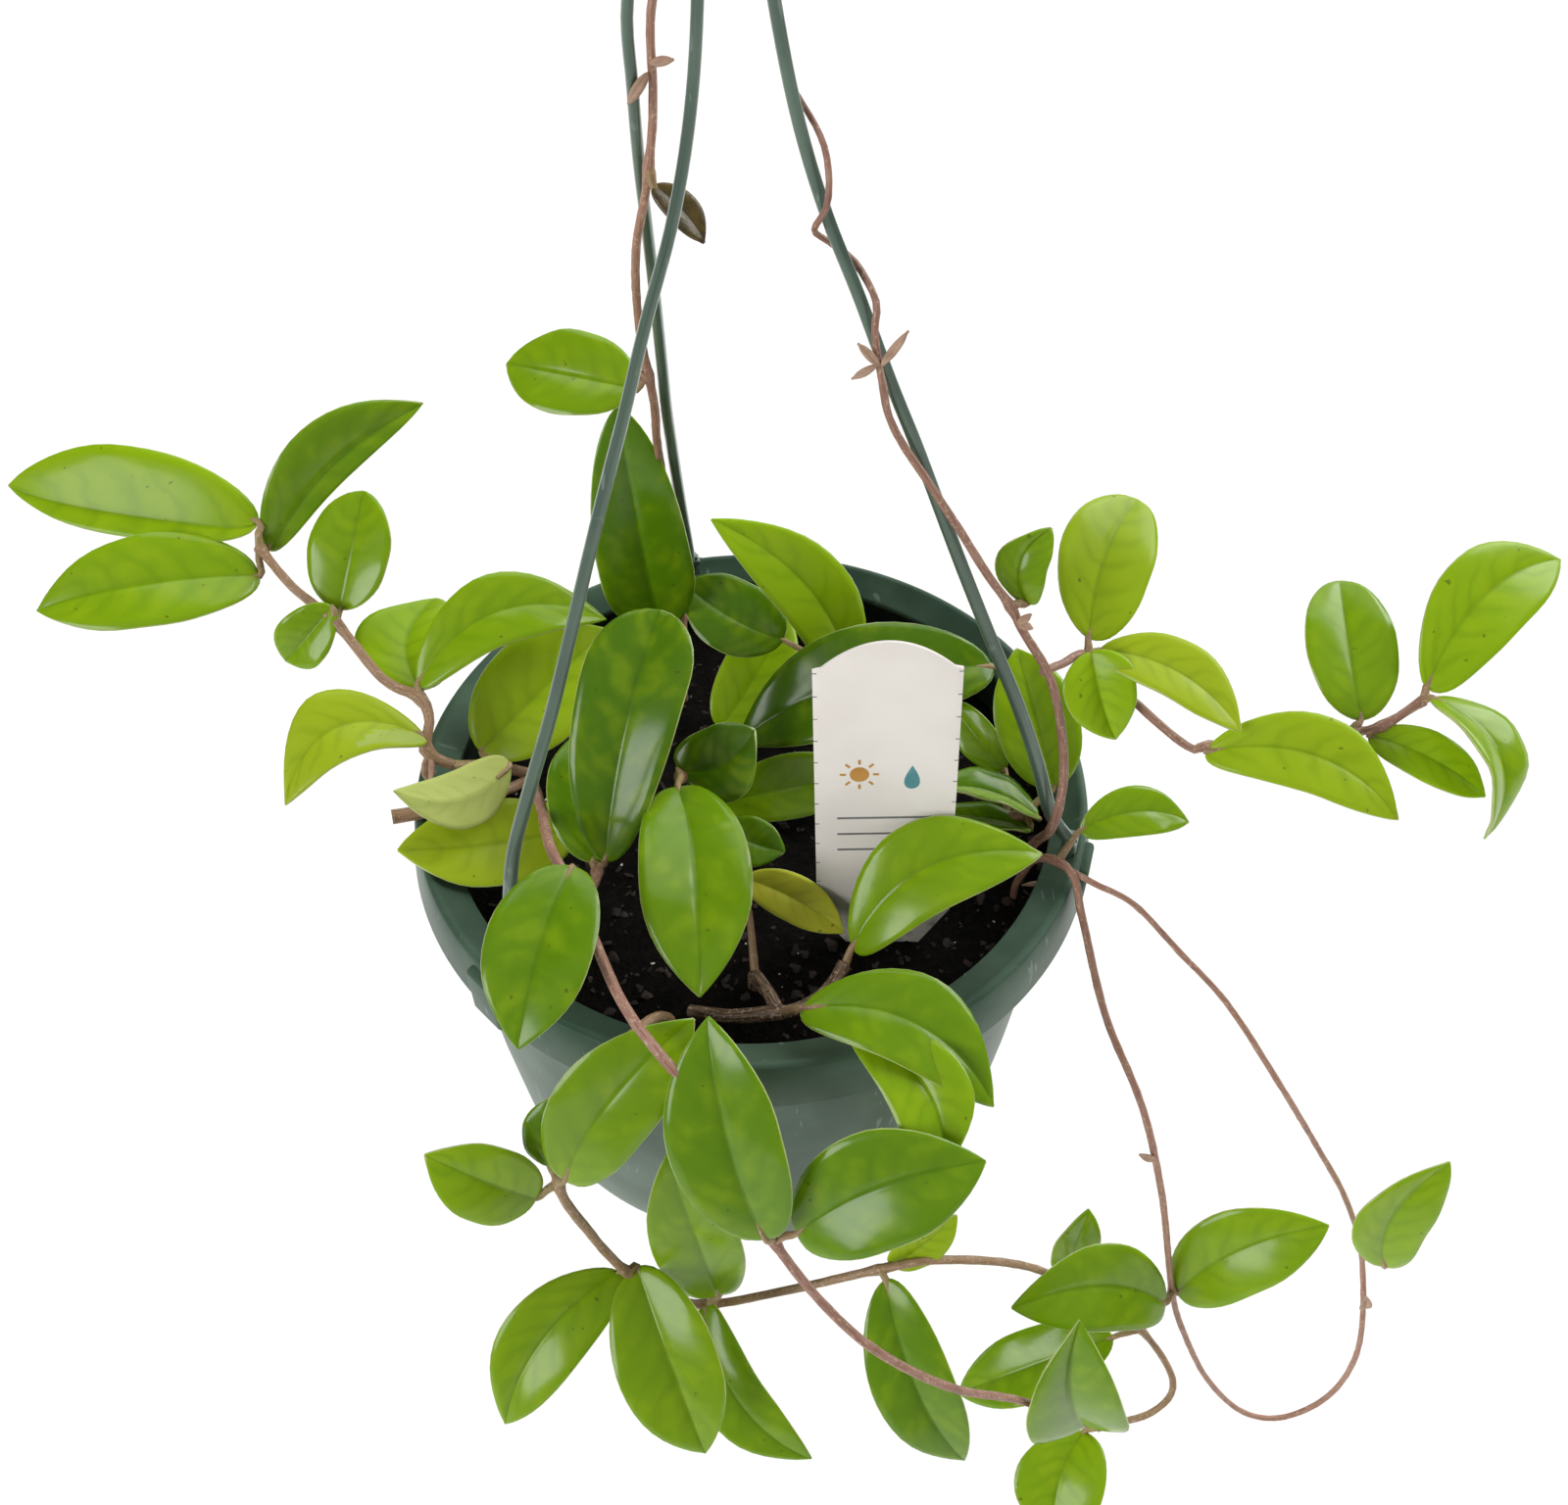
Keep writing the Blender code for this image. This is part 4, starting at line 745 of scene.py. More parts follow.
def makeStrand(number):
    azimuth = pocket["azimuths"][number]
    knots = [strandCentre(number, height) for _, height in reversed(hanger["run"])]
    run = smoothRoute(knots, 4.0)
    last = len(run) - 1
    taper = hanger["footRadius"] - hanger["topRadius"]
    thick = [hanger["topRadius"] + taper * (at / last) ** 1.5 for at in range(last + 1)]
    outward = polar(azimuth, 1.0, 0.0)
    ridge = [point + outward * radius * hanger["ridgeOut"] for point, radius in zip(run, thick)]
    runs = [(run, [radius * hanger["coreShare"] for radius in thick], 0.0),
            (ridge, [radius * hanger["ridgeShare"] for radius in thick], 0.0)]
    strand = skinned(f"strand{number + 1}", runs, hangerSkin, {"Sides": 14})
    tall = hanger["footTop"] - pocket["bottom"]
    play = hanger["footPlay"]
    size = (pocket["slotDepth"] - play, pocket["slotWidth"] - play, tall)
    stand = standing(azimuth, pocket["slotRadius"], hanger["footTop"] - tall / 2)
    foot = block("strandFoot", size, stand, 0.5)
    foot.data.materials.append(hangerPlastic)
    deep, wide, high = hanger["collar"]
    stand = standing(azimuth, pocket["slotRadius"], hanger["collarHeight"])
    collar = block("strandCollar", (size[0] + deep, size[1] + wide, high), stand, 0.6)
    collar.data.materials.append(hangerPlastic)
    bpy.context.view_layer.update()
    return fuse(strand, [settle(foot), settle(collar)])


def makeHook():
    radius, centre = hanger["hookRadius"], hanger["hookCentre"]
    arc = [(-radius * math.cos(math.radians(at)), centre + radius * math.sin(math.radians(at)))
           for at in range(0, 181, 15)]
    top = hanger["hubHeight"]
    low = [(0.0, top + 3.0), (0.0, top + 12.0), (-2.5, top + 20.0), (-10.0, top + 28.0), (-14.2, top + 36.0)]
    end = [(14.6, centre - 5.0), (16.5, centre - 11.0)]
    run = smoothRoute([(hanger["hubX"] + x, 0.0, z) for x, z in low + arc + end], 1.5)
    thick = [hanger["hookRod"]] * (len(run) - 4) + [2.95, 2.8, 2.5, 1.8]
    hook = skinned("hangerHook", [(run, thick, 0.0)], hangerSkin, {"Sides": 20})
    profile = [(0.0, 0.2), (7.6, 0.2), (8.6, 0.9), (9.0, 2.2), (9.0, 6.6), (8.4, 7.8), (6.6, 8.6),
               (4.4, 9.0), (3.6, 11.0), (2.6, 12.0), (0.0, 12.0)]
    hub = turned("hangerHub", [(away, top + high) for away, high in reversed(profile)], 48, hangerPlastic)
    hub.data.transform(Matrix.Translation(Vector((hanger["hubX"], 0, 0)) * mm))
    return fuse(hook, [settle(hub)])


for number in range(3):
    strand = makeStrand(number)
    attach(strand, "root")
    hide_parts(f"hanger_strand_{number + 1}")
hook = makeHook()
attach(hook, "root")
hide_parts("hanger_hook")
print("hanger made")


# The plant: each leafy stem is one piece of vine runs, stalks and blades
blade = {
    "thick": 1.2, "rows": 22, "columns": 14, "groove": 0.35, "grooveWidth": 1.1, "curl": 0.25,
    "wave": 0.35, "waves": 17.0, "waveDrift": 3.0, "waveShift": 1.7, "fullWaveWidth": 12.0,
}
stalk = {"radius": 1.15, "swell": 0.42, "swellLength": 2.6, "spacing": 17.0, "farthest": 14.0}
vineTree = skinTree(vineMaterial)


def leaf(base, tip, width, face=(0.0, -0.5, 0.85), arch=0.07, fold=12.0, sway=0.0,
         tone=0.5, point=0.85, rib=0.0, widest=0.46, skin=None, pale=None):
    return {"base": Vector(base), "tip": Vector(tip), "width": width, "face": Vector(face), "arch": arch,
            "fold": math.radians(fold), "sway": sway, "tone": tone, "point": point, "rib": rib,
            "widest": widest, "skin": skin, "pale": pale}


def shareOfWidth(spec, along):
    if along < spec["widest"]:
        return math.sin(math.pi / 2 * (along / spec["widest"]) ** 0.9) ** 0.5
    rest = min(1.0, (along - spec["widest"]) / (1 - spec["widest"]))
    return max(0.0, math.cos(math.pi / 2 * rest ** 1.3)) ** spec["point"]


def bladePoint(spec, along, side):
    reach = spec["tip"] - spec["base"]
    way = reach.normalized()
    up = (spec["face"] - way * spec["face"].dot(way)).normalized()
    across = way.cross(up)
    wide = max(0.3, spec["width"] / 2 * shareOfWidth(spec, along))
    half = wide * side
    rib = wide * spec["rib"]
    bend = reach.length * 4 * along * (1 - along)
    rise = abs(half - rib) * math.sin(spec["fold"]) * (1.0 - blade["curl"] * side * side)
    dip = math.exp(-((half - rib) / blade["grooveWidth"]) ** 2)
    groove = blade["groove"] * dip * math.sin(math.pi * along)
    phase = along * blade["waves"] + spec["width"] * blade["waveDrift"]
    phase += blade["waveShift"] if side > 0 else 0.0
    calm = min(1.0, spec["width"] / blade["fullWaveWidth"]) ** 2        # small leaves lie flatter
    wave = blade["wave"] * calm * abs(side) ** 3 * math.sin(phase)
    lift = spec["arch"] * bend + rise - groove + wave
    aside = spec["sway"] * bend + half * math.cos(spec["fold"])
    return spec["base"] + reach * along + across * aside + up * lift


def bladeNormal(spec, along, side):
    step = 0.01
    low, high = max(0.0, along - step), min(1.0, along + step)
    inner, outer = max(-1.0, side - 0.03), min(1.0, side + 0.03)
    lengthwise = bladePoint(spec, high, side) - bladePoint(spec, low, side)
    crosswise = bladePoint(spec, along, outer) - bladePoint(spec, along, inner)
    return crosswise.cross(lengthwise).normalized()


def addBlade(bm, spec):
    uv = bm.loops.layers.uv.get("leafPlace") or bm.loops.layers.uv.new("leafPlace")
    toneLayer = bm.verts.layers.float.get("leafTone") or bm.verts.layers.float.new("leafTone")
    rows, columns = blade["rows"], blade["columns"]
    sides = [math.copysign(abs(at) ** 1.25, at) for at in [2 * at / columns - 1 for at in range(columns + 1)]]
    shift = spec["rib"]
    sides = [side + shift * (1 - abs(side)) for side in sides]
    rings = []
    for row in range(rows + 1):
        along = 0.5 - 0.5 * math.cos(math.pi * row / rows)
        fade = min(1.0, 0.45 + along / 0.05, 0.45 + (1 - along) / 0.08)
        upper, lower = [], []
        for side in sides:
            centre = bladePoint(spec, along, side * 0.985)
            normal = bladeNormal(spec, along, side * 0.985)
            thick = blade["thick"] / 2 * fade * (1.0 - 0.4 * abs(side) ** 4)
            upper.append((centre + normal * thick, along, side))
            lower.append((centre - normal * thick, along, side))
        right = (bladePoint(spec, along, 1.0), along, 1.0)
        left = (bladePoint(spec, along, -1.0), along, -1.0)
        ring = []
        for spot, away, side in [*upper, right, *reversed(lower), left]:
            vertex = bm.verts.new(place(spot))
            vertex[toneLayer] = spec["tone"]
            ring.append((vertex, away, 0.5 + 0.5 * (side - shift) / (1 + abs(shift))))
        rings.append(ring)
    count = len(rings[0])
    edgeFaces = {columns, columns + 1, count - 1, count - 2}
    faces = []
    for low, high in zip(rings, rings[1:]):
        for at in range(count):
            after = (at + 1) % count
            corners = (low[at], low[after], high[after], high[at])
            face = bm.faces.new([corner[0] for corner in corners])
            kind = 2 if at in edgeFaces else (0 if at < columns else 1)
            if spec["pale"] and at < columns:
                start, stop, inner, outer = spec["pale"]
                share = (low[at][1] - start) / (stop - start)
                reach = inner + (outer - inner) * math.sqrt(max(0.0, 1.0 - share * share))
                kind = 1 if 0.0 <= share < 1.0 and inner < sides[at] < reach else 0
            face.material_index = kind if spec["skin"] is None else spec["skin"]
            faces.append((face, corners))
    for ring in (rings[0][::-1], rings[-1]):
        face = bm.faces.new([corner[0] for corner in ring])
        face.material_index = 2 if spec["skin"] is None else spec["skin"]
        faces.append((face, ring))
    for face, corners in faces:
        for loop, corner in zip(face.loops, corners):
            loop[uv].uv = corner[1:]


def makeStem(name, design):
    runs, coarse = [], []
    for route, startRadius, endRadius in design["runs"]:
        fine = smoothRoute(route, 2.5)
        knots = smoothRoute(route, stalk["spacing"])
        coarse += knots
        nodes = [min(knots, key=lambda knot: (knot - spec["base"]).length) for spec in design["leaves"]]
        nodes = [node for node, spec in zip(nodes, design["leaves"])
                 if (node - spec["base"]).length < stalk["farthest"]]
        last = len(fine) - 1
        thick = []
        for at, point in enumerate(fine):
            near = min([(point - node).length for node in nodes], default=99.0)
            swell = 1.0 + stalk["swell"] * math.exp(-(near / stalk["swellLength"]) ** 2)
            thick.append((startRadius + (endRadius - startRadius) * at / last) * swell)
        runs.append((fine, thick, design["barkTone"]))
    for spec in design["leaves"]:
        start = min(coarse, key=lambda knot: (knot - spec["base"]).length)
        neck = bladePoint(spec, 0.0, 0.0)
        under = bladePoint(spec, 0.14, 0.0) - bladeNormal(spec, 0.14, 0.0) * 0.3
        bend = (start + neck) / 2 + Vector((0.0, 0.0, 0.6))
        fine = smoothRoute([start, bend, neck, under], 1.6)
        last = len(fine) - 1
        runs.append((fine, [stalk["radius"] * (1.12 - 0.52 * at / last) for at in range(last + 1)],
                     design["barkTone"] * 0.35))
    piece = skinned(name, runs, vineTree, {"Sides": 12, "Unevenness": 0.0004, "Blob Size": 0.004})
    piece.data.materials.clear()
    bm = bmesh.new()
    bm.from_mesh(piece.data)
    for face in bm.faces:
        face.material_index = 3
    for spec in [*design["leaves"], *design.get("scales", ())]:
        addBlade(bm, spec)
    for face in bm.faces:
        face.smooth = True
    bm.to_mesh(piece.data)
    bm.free()
    for material in (leafTop, leafUnder, leafEdge, vineMaterial, scaleMaterial, brownLeaf):
        piece.data.materials.append(material)
    return piece


def rooted(x, y, *rest):
    return [(x, y, mix["level"] + rise) for rise in (-20.0, -10.0, 4.0, 7.0)] + list(rest)


def besideStrand(number, offsets):
    return [strandCentre(number, height) + Vector((dx, dy, 0.0)) for height, dx, dy in offsets]


# The stem that leaves the pot at the left and reaches up and out, with a cut stub at its foot
vineLeft = {
    "barkTone": 0.4,
    "runs": [
        (rooted(-70, 12, (-77, 7, -5), (-89, -3, 8), (-96, -3, 15), (-95, 3, 20), (-98, 9, 24),
         (-109, 13, 28), (-124, 28, 36), (-137, 36, 43), (-149, 49, 47)), 1.8, 1.35),
        ([(-70, 12, -15), (-75, 2, -9), (-85, -10, -2), (-96, -17, 3), (-105, -20, 4)], 1.6, 2.2),
    ],
    "leaves": [
        leaf((-149, 54, 53), (-230, 71, 52), 28, (-0.1, -0.6, 0.8), 0.04, 14, 0.03, tone=0.7, rib=-0.5),
        leaf((-149, 43, 41), (-211, 27, 41), 31, (0.0, -0.4, 0.9), 0.08, 12, 0.01, tone=0.6),
        leaf((-148, 52, 44), (-102, 89, 71), 20, (0.6, -0.6, 0.6), 0.06, 14, -0.15, tone=0.45, rib=0.45),
        leaf((-124, 34, 36), (-117, 60, 60), 27, (-0.2, -0.7, 0.6), 0.06, 12, 0.03, tone=0.55, point=0.6),
        leaf((-125, 31, 40), (-141, 24, 24), 18, (0.2, -0.6, 0.8), 0.06, 20, -0.02, tone=0.55, widest=0.6),
        leaf((-96, -1, 18), (-133, -24, 14), 24, (-0.1, -0.4, 0.9), 0.14, 12, 0.28,
             tone=0.8, pale=(0.0, 0.4, -1.0, -0.3)),
        leaf((-100, 17, 19), (-100, 53, 23), 32, (0.0, -0.6, 0.8), 0.06, 12, -0.17, tone=0.7),
        leaf((-99, 13, 26), (-45, 37, 30), 23, (0.0, -0.5, 0.85), 0.14, 12, -0.18, tone=0.6),
        leaf((-84, 11, -2), (-46, 46, 17), 35, (0.0, -0.6, 0.8), 0.08, tone=0.75),
        leaf((-71, -7, 13), (-98, -31, 29), 18, (-0.2, 0.5, -0.85), 0.05, 10, 0.16, tone=1.0, widest=0.32),
    ],
    "scales": [
        leaf((-95, -4, 14), (-96, -7, 5), 4.5, (0.0, -0.8, 0.5), 0.10, 25, skin=4),
    ],
}


# The vine that climbs the back strand
vineBackOffsets = ((28.0, -3.0, -5.0), (40.0, -4.2, -3.8), (65.0, -3.9, -2.0), (85.0, -3.4, -3.5),
           (102.0, -2.9, -3.0), (125.0, -4.7, 0.0), (142.0, -4.6, -0.5), (157.0, -3.6, -2.2),
           (169.0, -1.9, -3.8), (182.0, 1.0, -4.0), (190.0, 2.4, -3.0), (199.0, 3.6, -1.5),
           (209.0, 4.3, 0.0), (225.0, 5.4, 0.5), (246.0, 4.5, 2.0))
vineBack = {
    "barkTone": 0.75,
    "runs": [
        (rooted(-24, 50, (-24, 62, 8), *besideStrand(0, vineBackOffsets)), 1.5, 0.9),
    ],
    "leaves": [
        leaf((-30, 51, 13), (-39, 62, 90), 30, (0.2, -0.8, 0.3), 0.04, 16, -0.02,
             tone=0.35, widest=0.3, point=0.6),
        leaf((-31, 44, 109), (-68, 58, 107), 26, (0.1, -0.5, 0.85), 0.06, 12, -0.02, tone=0.55),
        leaf((-20, 11, 186), (-9, 5, 176), 8, (0.3, -0.6, 0.7), 0.05, 12, -0.06, tone=0.3, skin=5),
    ],
    "scales": [
        leaf((-19, 9.5, 214), (-14, 8, 215.5), 2, (0.0, -0.8, 0.5), 0.10, 20, skin=4),
        leaf((-19.5, 9.5, 212), (-24, 8, 206), 2.4, (0.0, -0.8, 0.5), 0.10, 20, skin=4),
        leaf((-28, 44, 111.5), (-31, 43, 116), 3, (0.0, -0.8, 0.5), 0.10, 20, skin=4),
    ],
}


# The long stem that arches over the front rim and trails to the right
vineLong = {
    "barkTone": 0.87,
    "runs": [
        (rooted(-66, -2, (-66, -5, 0), (-64, -11, 8.5), (-60, -23, 12), (-57, -35, 18), (-53, -48, 24),
         (-46, -60, 22), (-41, -70, 17), (-30.5, -93, 18.5), (-18.5, -107, 13.5), (-10, -109, 0),
         (-3, -112, -15), (3, -118, -30), (8, -129, -40), (23, -137, -66), (39, -143, -84),
         (61, -143, -110), (84, -137, -137), (108, -131, -172)), 1.6, 1.2),
        ([(-44, -63, 20), (-43, -52, 13), (-43, -41, 6), (-47, -27, -2)], 1.4, 1.4),
    ],
    "leaves": [
        leaf((-41, -37, 6), (-26, 16, 54), 32, (-0.1, -0.6, 0.7), 0.08, 16, -0.02,
             widest=0.72, tone=0.25, point=0.45),
        leaf((-45, -36, 4), (-49, 4, 17), 26, (0.2, -0.6, 0.7), 0.05, tone=0.35),
        leaf((-46, -58, 31), (-57, -103, 14), 29, (0.0, -0.55, 0.85), 0.08, 14, 0.03, tone=0.4),
        leaf((6, -134, -28), (-9, -98, 22), 31, (-0.1, -0.8, 0.5), 0.06, 14, -0.04, tone=0.4),
        leaf((14, -131, -31), (62, -122, -7), 32, (0.0, -0.66, 0.75), 0.08, 12, -0.09, tone=0.4),
        leaf((111, -133, -172), (102, -120, -116), 37, (0.0, -0.7, 0.6), 0.08, 30, -0.09,
             tone=0.45, widest=0.25),
        leaf((-52, -17, -4), (-101, -33, 5), 27, (0.0, -0.35, 0.95), 0.04, 6, -0.05, tone=0.8),
    ],
}


# The stem that drops over the front-left rim and runs below the pot to the right
vineFront = {
    "barkTone": 0.35,
    "runs": [
        (rooted(-21, -80, (-21, -83, -3), (-25, -88, 4), (-33, -97, 4.5), (-38, -101, 0),
         (-42, -99, -10), (-47, -101, -24), (-51, -114, -38),
         (-45, -115, -67), (-36, -116, -92), (-25, -114, -114), (-13, -112, -126), (11, -110, -120),
         (40, -110, -103), (60, -108, -100), (89, -101, -121), (115, -96, -156), (136, -97, -182),
         (150, -107, -204), (143, -115, -212), (124, -118, -220)), 1.5, 1.2),
    ],
    "leaves": [
        leaf((-48, -118, -28), (-13, -93, 13), 28, (0.1, -0.7, 0.6), 0.08, 12, -0.09, tone=0.5),
        leaf((-53, -112, -32), (-51, -100, -15), 16, (-0.2, -0.6, 0.7), 0.05, tone=0.35),
        # painted highlight: this leaf's tone is set paler to stand in for the sheen it shows
        leaf((-57, -117, -41), (-83, -118, -14), 22, (0.0, -0.6, 0.8), 0.08, tone=0.6),
        leaf((-39, -113, -99), (-73, -148, -129), 27, (0.0, -0.66, 0.75), 0.08, 20, 0.12, tone=0.6),
        leaf((-33, -114, -93), (-12, -156, -129), 33, (0.0, -0.65, 0.76), 0.08, 22, tone=0.55),
        leaf((-9, -113, -116), (-23, -98, -52), 27, (0.0, -0.7, 0.7), 0.06, tone=0.5),
        leaf((-14, -112, -125), (20, -150, -153), 21, (-0.1, -0.6, 0.8), 0.08, 16, 0.13, tone=0.5),
        leaf((42, -113, -103), (68, -150, -153), 27, (0.0, -0.8, 0.6), 0.08, 20, 0.06, tone=0.4),
        leaf((44, -108, -104), (63, -100, -86), 14, (0.2, -0.7, 0.6), 0.05, tone=0.75),
        leaf((111, -84, -166), (112, -78, -128), 17, (0.1, -0.7, 0.6), 0.05, 12, -0.06, tone=0.6),
        leaf((120, -118, -224), (109, -150, -245), 34, (-0.1, -0.5, 0.85), 0.06, 22, 0.12, tone=0.62),
        leaf((127, -98, -187), (76, -104, -227), 26, (-0.6, -0.25, 0.8), 0.06, 18, -0.01, tone=0.5),
    ],
}


# The thin vine that loops out at the right and comes back up to the rim
vineLoop = {
    "barkTone": 0.75,
    "runs": [
        (rooted(79, -29, (82, -31, 0), (87, -34, 4.5), (92, -40, 5), (96, -47, -8), (105, -62, -35),
         (117, -79, -57), (129, -88, -97), (143, -93, -158), (153, -95, -190), (169, -98, -228),
         (188, -100, -256), (206, -99, -264), (220, -96, -247), (220, -93, -206), (211, -81, -160),
         (198, -75, -127), (180, -72, -94), (158, -70, -55), (140, -59, -31), (125, -50, -18),
         (110, -45, -2), (98, -42, 4), (88, -35, 4.5)), 1.2, 0.9),
    ],
    "leaves": [
        # painted highlight: this leaf's tone is set paler to stand in for the sheen it shows
        leaf((139, -99, -154), (84, -110, -132), 29, (0.0, -0.6, 0.8), 0.08, 12, 0.13, tone=0.5),
        leaf((145, -93, -160), (188, -86, -121), 30, (0.0, -0.6, 0.8), 0.08, 12, -0.11, tone=0.6),
        leaf((209, -93, -137), (220, -78, -92), 26, (0.1, -0.7, 0.7), 0.05, 14, -0.19, tone=0.6),
        leaf((94, -30, 13), (126, -25, 11), 15, (0.0, -0.5, 0.85), 0.10, 12, -0.12, tone=0.55),
    ],
    "scales": [
        leaf((216, -88, -183), (213.5, -89, -171), 4.5, (0.0, -0.8, 0.5), 0.10, 20, skin=4),
        leaf((123.5, -85.5, -77), (118, -86, -73.5), 2.5, (0.0, -0.8, 0.5), 0.10, 20, skin=4),
        leaf((90, -27, -15.5), (81, -28, -16), 1.5, (0.0, -0.6, 0.8), 0.05, skin=4),
    ],
}


# The vine that climbs the right strand, with the branch that carries the right-hand leaves
vineRightOffsets = ((14.0, -1.0, -6.5), (22.0, 3.5, -4.5), (33.0, 7.3, -1.0), (50.0, 10.3, 1.5),
                    (64.0, 11.0, 2.0),
           (76.0, 9.0, 2.0), (86.0, 8.2, 1.0), (98.0, 5.7, -1.0), (111.0, 3.6, -2.6),
           (125.0, 0.8, -4.4), (140.0, -3.1, -2.6), (153.0, -1.0, -4.2), (164.0, 1.2, -4.0),
           (170.0, 3.6, -1.5), (176.0, 1.4, 3.6), (181.0, -2.4, 3.0), (184.5, -3.9, 0.0), (188.0, -2.4, -3.0),
           (192.0, 0.9, -3.8), (197.0, 3.0, -2.4), (203.0, 3.8, 0.0), (208.0, 2.4, 2.6), (212.0, 0.4, 3.8))
vineRight = {
    "barkTone": 0.89,
    "runs": [
        (rooted(74, -21, (79, -26, -4), (83, -28, 6), *besideStrand(2, vineRightOffsets)), 1.6, 0.65),
        ([(78, -17, 64), (84, -12, 62), (92, -7, 60), (105, -14, 50), (119, -25, 44), (125, -25, 44),
         (148, -20, 40), (166, -17, 41), (174, -17, 44), (185, -12, 49)], 1.2, 1.2),
    ],
    "leaves": [
        leaf((92, -3, 63), (107, 34, 81), 28, (0.1, -0.7, 0.6), 0.08, 12, -0.10, tone=0.75, point=0.55),
        leaf((92, -8, 63), (100, -22, 43), 22, (0.0, -0.7, 0.6), 0.05, 25, 0.04, tone=0.7, widest=0.3),
        # painted highlight: this leaf's tone is set paler to stand in for the sheen it shows
        leaf((95, -5, 60), (131, -28, 53), 18, (0.2, -0.5, 0.85), 0.12, 12, -0.09, tone=0.8),
        leaf((124, -27, 44), (175, -42, 34), 22, (0.0, -0.6, 0.8), 0.10, 12, -0.15, tone=0.75),
        leaf((169, -14, 43), (167, 24, 60), 26, (0.0, -0.7, 0.6), 0.06, 12, -0.02, tone=0.55, point=0.5),
        leaf((186, -9, 51), (228, 26, 67), 27, (0.0, -0.66, 0.75), 0.08, 12, -0.15, tone=0.7),
        leaf((171, -18, 41), (202, -32, 32), 15, (0.0, -0.5, 0.85), 0.08, 12, -0.04, tone=0.7),
        # painted highlight: this leaf's tone is set paler to stand in for the sheen it shows
        leaf((186, -14, 52), (201, -42, 26), 22, (0.6, -0.4, 0.7), 0.25, 14, -0.09, tone=0.6),
        leaf((72, -12, 84), (77, -2, 101), 15, (0.1, -0.8, 0.5), 0.06, 20, -0.27, tone=0.5),
    ],
    "scales": [
        leaf((30, -13, 157), (25, -13.5, 163), 2, (0.0, -0.8, 0.5), 0.10, 20, skin=4),
        leaf((30.5, -13, 157), (36, -13, 166), 2, (0.0, -0.8, 0.5), 0.10, 20, skin=4),
        leaf((29.5, -13, 157), (24, -14, 154), 1.8, (0.0, -0.8, 0.5), 0.10, 20, skin=4),
        leaf((69.5, -16, 81), (72.5, -17, 85), 2.2, (0.0, -0.8, 0.5), 0.10, 20, skin=4),
        leaf((69.5, -16, 81), (73.5, -17, 80), 2.4, (0.0, -0.8, 0.5), 0.10, 20, skin=4),
    ],
}


# Leaves that stand at the right edge, behind the strand and the label
sprayRight = {
    "barkTone": 0.5,
    "runs": [
        (rooted(74, -8, (77, -10, -6), (82, -11, -3)), 1.6, 1.4),
    ],
    "leaves": [
        leaf((77, 4, 0), (60, 23, 11), 13, (-0.2, -0.8, 0.5), 0.05, 12, -0.01, tone=0.5),
        leaf((91, -4, 1), (79, 26, 30), 26, (0.1, -0.8, 0.5), 0.05, 12, -0.01, tone=0.6),
        leaf((86, -13, -3), (54, -10, 8), 17, (0.1, 0.2, 1.0), 0.08, 26, 0.05,
             tone=0.3, pale=(0.0, 1.0, -1.0, -0.05)),
        leaf((84, -14, -7), (55, -12, -3), 12, (0.1, 0.2, 1.0), 0.06, 20,
             tone=0.35, pale=(0.0, 1.0, -1.0, -0.05)),
    ],
}


# The short stems in the middle of the pot
stemMiddle = {
    "barkTone": 0.5,
    "runs": [
        (rooted(-18, 4, (-19, 2, -4), (-21, -7, 8)), 1.6, 1.5),
        ([(-18, 4, -13), (-12, 0, -11), (-4, -12, -9)], 1.4, 1.3),
    ],
    "leaves": [
        leaf((-21, -17, 15), (-12, -84, 9), 32, (0.0, -0.4, 0.9), 0.13, 16, -0.04, tone=0.45, widest=0.56),
        leaf((-22, -4, 8), (1, 4, 17), 24, (0.0, -0.5, 0.8), 0.08, 12, 0.20, tone=0.15),
        leaf((-10, 1, -14), (36, 10, -10), 21, (0.0, -0.5, 0.8), 0.06, 12, -0.01, tone=0.5),
        leaf((-7, -20, 0), (10, -27, -2), 15, (0.0, -0.5, 0.8), 0.06, 12, 0.06, tone=0.35),
    ],
}


# The stems behind the middle, with the tall and the dark leaves
stemBack = {
    "barkTone": 0.5,
    "runs": [
        (rooted(24, 34, (22, 38, 2), (24, 42, 4)), 1.6, 1.5),
        ([(24, 34, -12), (44, 36, -2), (64, 32, 12), (72, 30, 17)], 1.6, 1.4),
    ],
    "leaves": [
        leaf((31, 46, -8), (-13, 58, 52), 25, (0.1, -0.66, 0.75), 0.08, 12, 0.12, tone=0.7),
        leaf((9, 50, 9), (-22, 62, 21), 25, (0.0, -0.5, 0.85), 0.06, 12, -0.06, tone=0.2, point=0.6),
        leaf((-11, 31, -12), (10, 66, 7), 23, (0.0, -0.6, 0.8), 0.05, 12, 0.04, tone=0.7),
        leaf((73, 28, 20), (-5, 18, -5), 33, (-0.1, -0.5, 0.85), 0.12, 12, 0.07, tone=0.2),
    ],
}


# The old brown stem near the front, with the two large front leaves
stemFront = {
    "barkTone": 1.0,
    "runs": [
        (rooted(2, -62, (6, -72, -8), (10, -79, -6), (20, -74, -6), (27, -66, -2)), 2.4, 1.6),
        ([(10, -79, -6), (-4, -78, -10), (-16, -74, -14)], 2.2, 1.8),
    ],
    "leaves": [
        leaf((29, -63, 2), (80, -47, 24), 26, (0.0, -0.5, 0.85), 0.12, 12, -0.18, tone=0.55),
        leaf((15, -86, 7), (65, -107, -6), 25, (0.0, -0.4, 0.9), 0.12, 12, -0.17, tone=0.45),
        leaf((29, -90, 4), (52, -122, -12), 23, (0.1, -0.6, 0.8), 0.12, 16, -0.16, tone=0.6, widest=0.65),
        leaf((-1, -40, 2), (27, -54, -4), 14, (0.0, -0.5, 0.8), 0.05, 12, -0.05, tone=1.0),
    ],
}


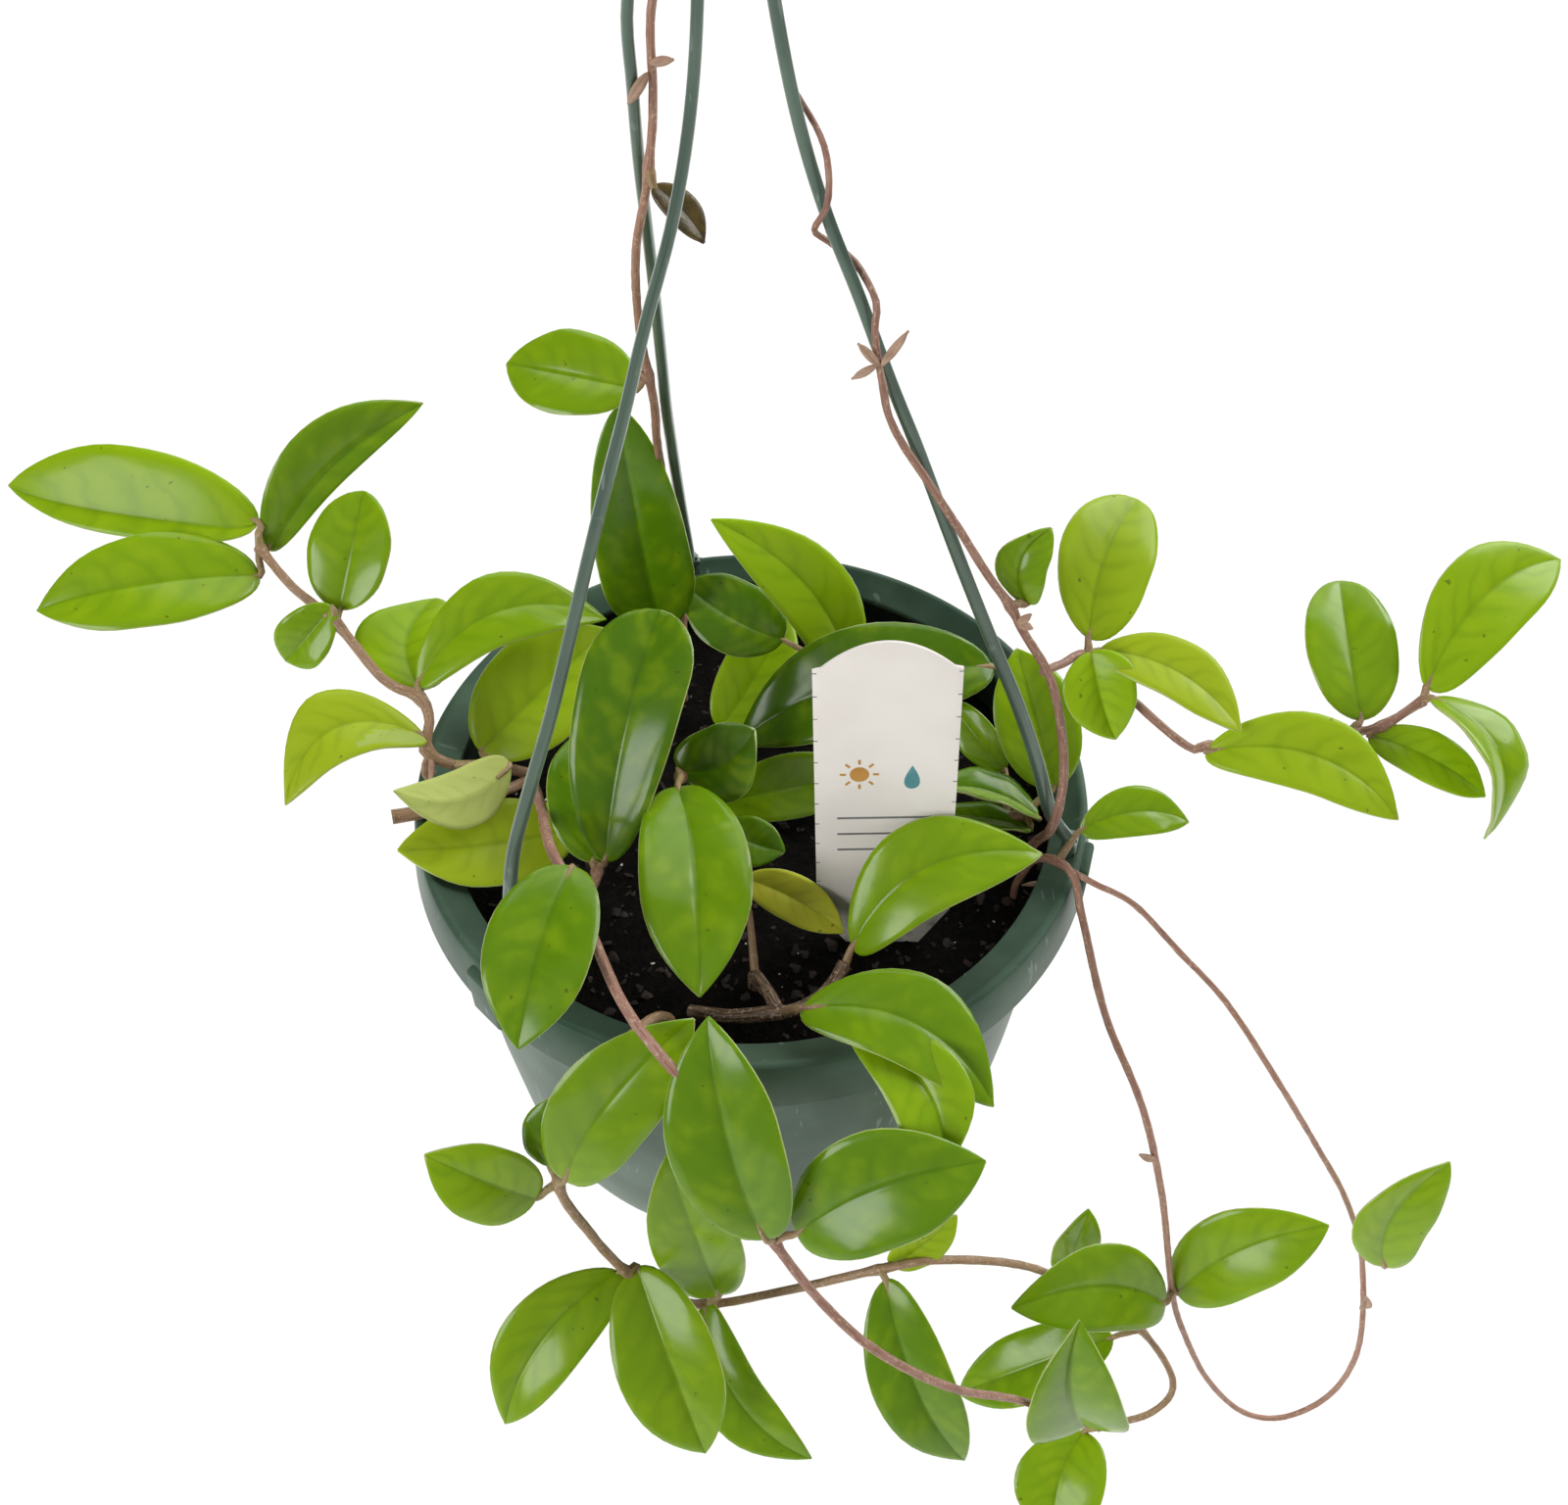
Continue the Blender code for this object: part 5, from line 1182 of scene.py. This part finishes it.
stems = {
    "vine_left": vineLeft, "vine_back": vineBack, "vine_long": vineLong, "vine_front": vineFront,
    "vine_loop": vineLoop, "vine_right": vineRight, "spray_right": sprayRight,
    "stem_middle": stemMiddle, "stem_back": stemBack, "stem_front": stemFront,
}
for name, design in stems.items():
    piece = makeStem(name.replace("_", "") + "Piece", design)
    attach(piece, "root")
    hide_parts(name)
    print(name, "made:", len(piece.data.polygons), "faces")


# The view: as the photograph was taken, from in front and above
view = {"distance": 482.0, "height": 48.7, "roll": 0.5, "aim": (9.6, 10.0, 0.0), "lens": 36.0, "sensor": 36.0}


def makeCamera():
    height = math.radians(view["height"])
    back = Vector((0.0, -math.cos(height), math.sin(height)))
    data = bpy.data.cameras.new("camera")
    data.sensor_fit = "HORIZONTAL"
    data.sensor_width = view["sensor"]
    data.lens = view["lens"]
    data.clip_start = 0.01
    camera = bpy.data.objects.new("camera", data)
    bpy.context.scene.collection.objects.link(camera)
    aim = place(view["aim"])
    turn = (-back).to_track_quat("-Z", "Y").to_matrix().to_4x4()
    roll = Matrix.Rotation(math.radians(view["roll"]), 4, back)
    camera.matrix_world = Matrix.Translation(aim + back * view["distance"] * mm) @ roll @ turn
    bpy.context.scene.camera = camera


studio = {
    "floor": -1.25, "floorColour": "#f7f7f5", "world": "#ffffff", "worldStrength": 0.08,
    "suns": (
        {"name": "skyBehind", "from": (0.20, 0.74, 0.66), "strength": 1.7, "spread": 70.0},
        {"name": "windowBackRight", "from": (0.75, 0.35, 0.55), "strength": 2.2, "spread": 42.0},
        {"name": "windowFrontLeft", "from": (-0.68, -0.56, 0.44), "strength": 1.9, "spread": 34.0},
        {"name": "roomFront", "from": (0.10, -0.80, 0.60), "strength": 0.4, "spread": 110.0},
    ),
}


def makeStudio():
    floorMade = newMaterial("paleFloor", {"Roughness": 0.9, "Base Color": studio["floorColour"]})[0]
    bm = bmesh.new()
    bmesh.ops.create_grid(bm, x_segments=1, y_segments=1, size=8.0)
    floor = fromBmesh("floor", bm, floorMade)
    floor.data.transform(Matrix.Translation((0, 0, studio["floor"])))
    for sun in studio["suns"]:
        data = bpy.data.lights.new(sun["name"], "SUN")
        data.energy = sun["strength"]
        data.angle = math.radians(sun["spread"])
        light = bpy.data.objects.new(sun["name"], data)
        bpy.context.scene.collection.objects.link(light)
        light.location = Vector(sun["from"]) * 2.0
        light.rotation_euler = (-Vector(sun["from"])).to_track_quat("-Z", "Y").to_euler()
    world = bpy.data.worlds.new("softWorld")
    world.use_nodes = True
    background = world.node_tree.nodes["Background"]
    background.inputs["Color"].default_value = toLinear(studio["world"])
    background.inputs["Strength"].default_value = studio["worldStrength"]
    bpy.context.scene.world = world
    bpy.context.scene.view_settings.view_transform = "Standard"


makeCamera()
makeStudio()
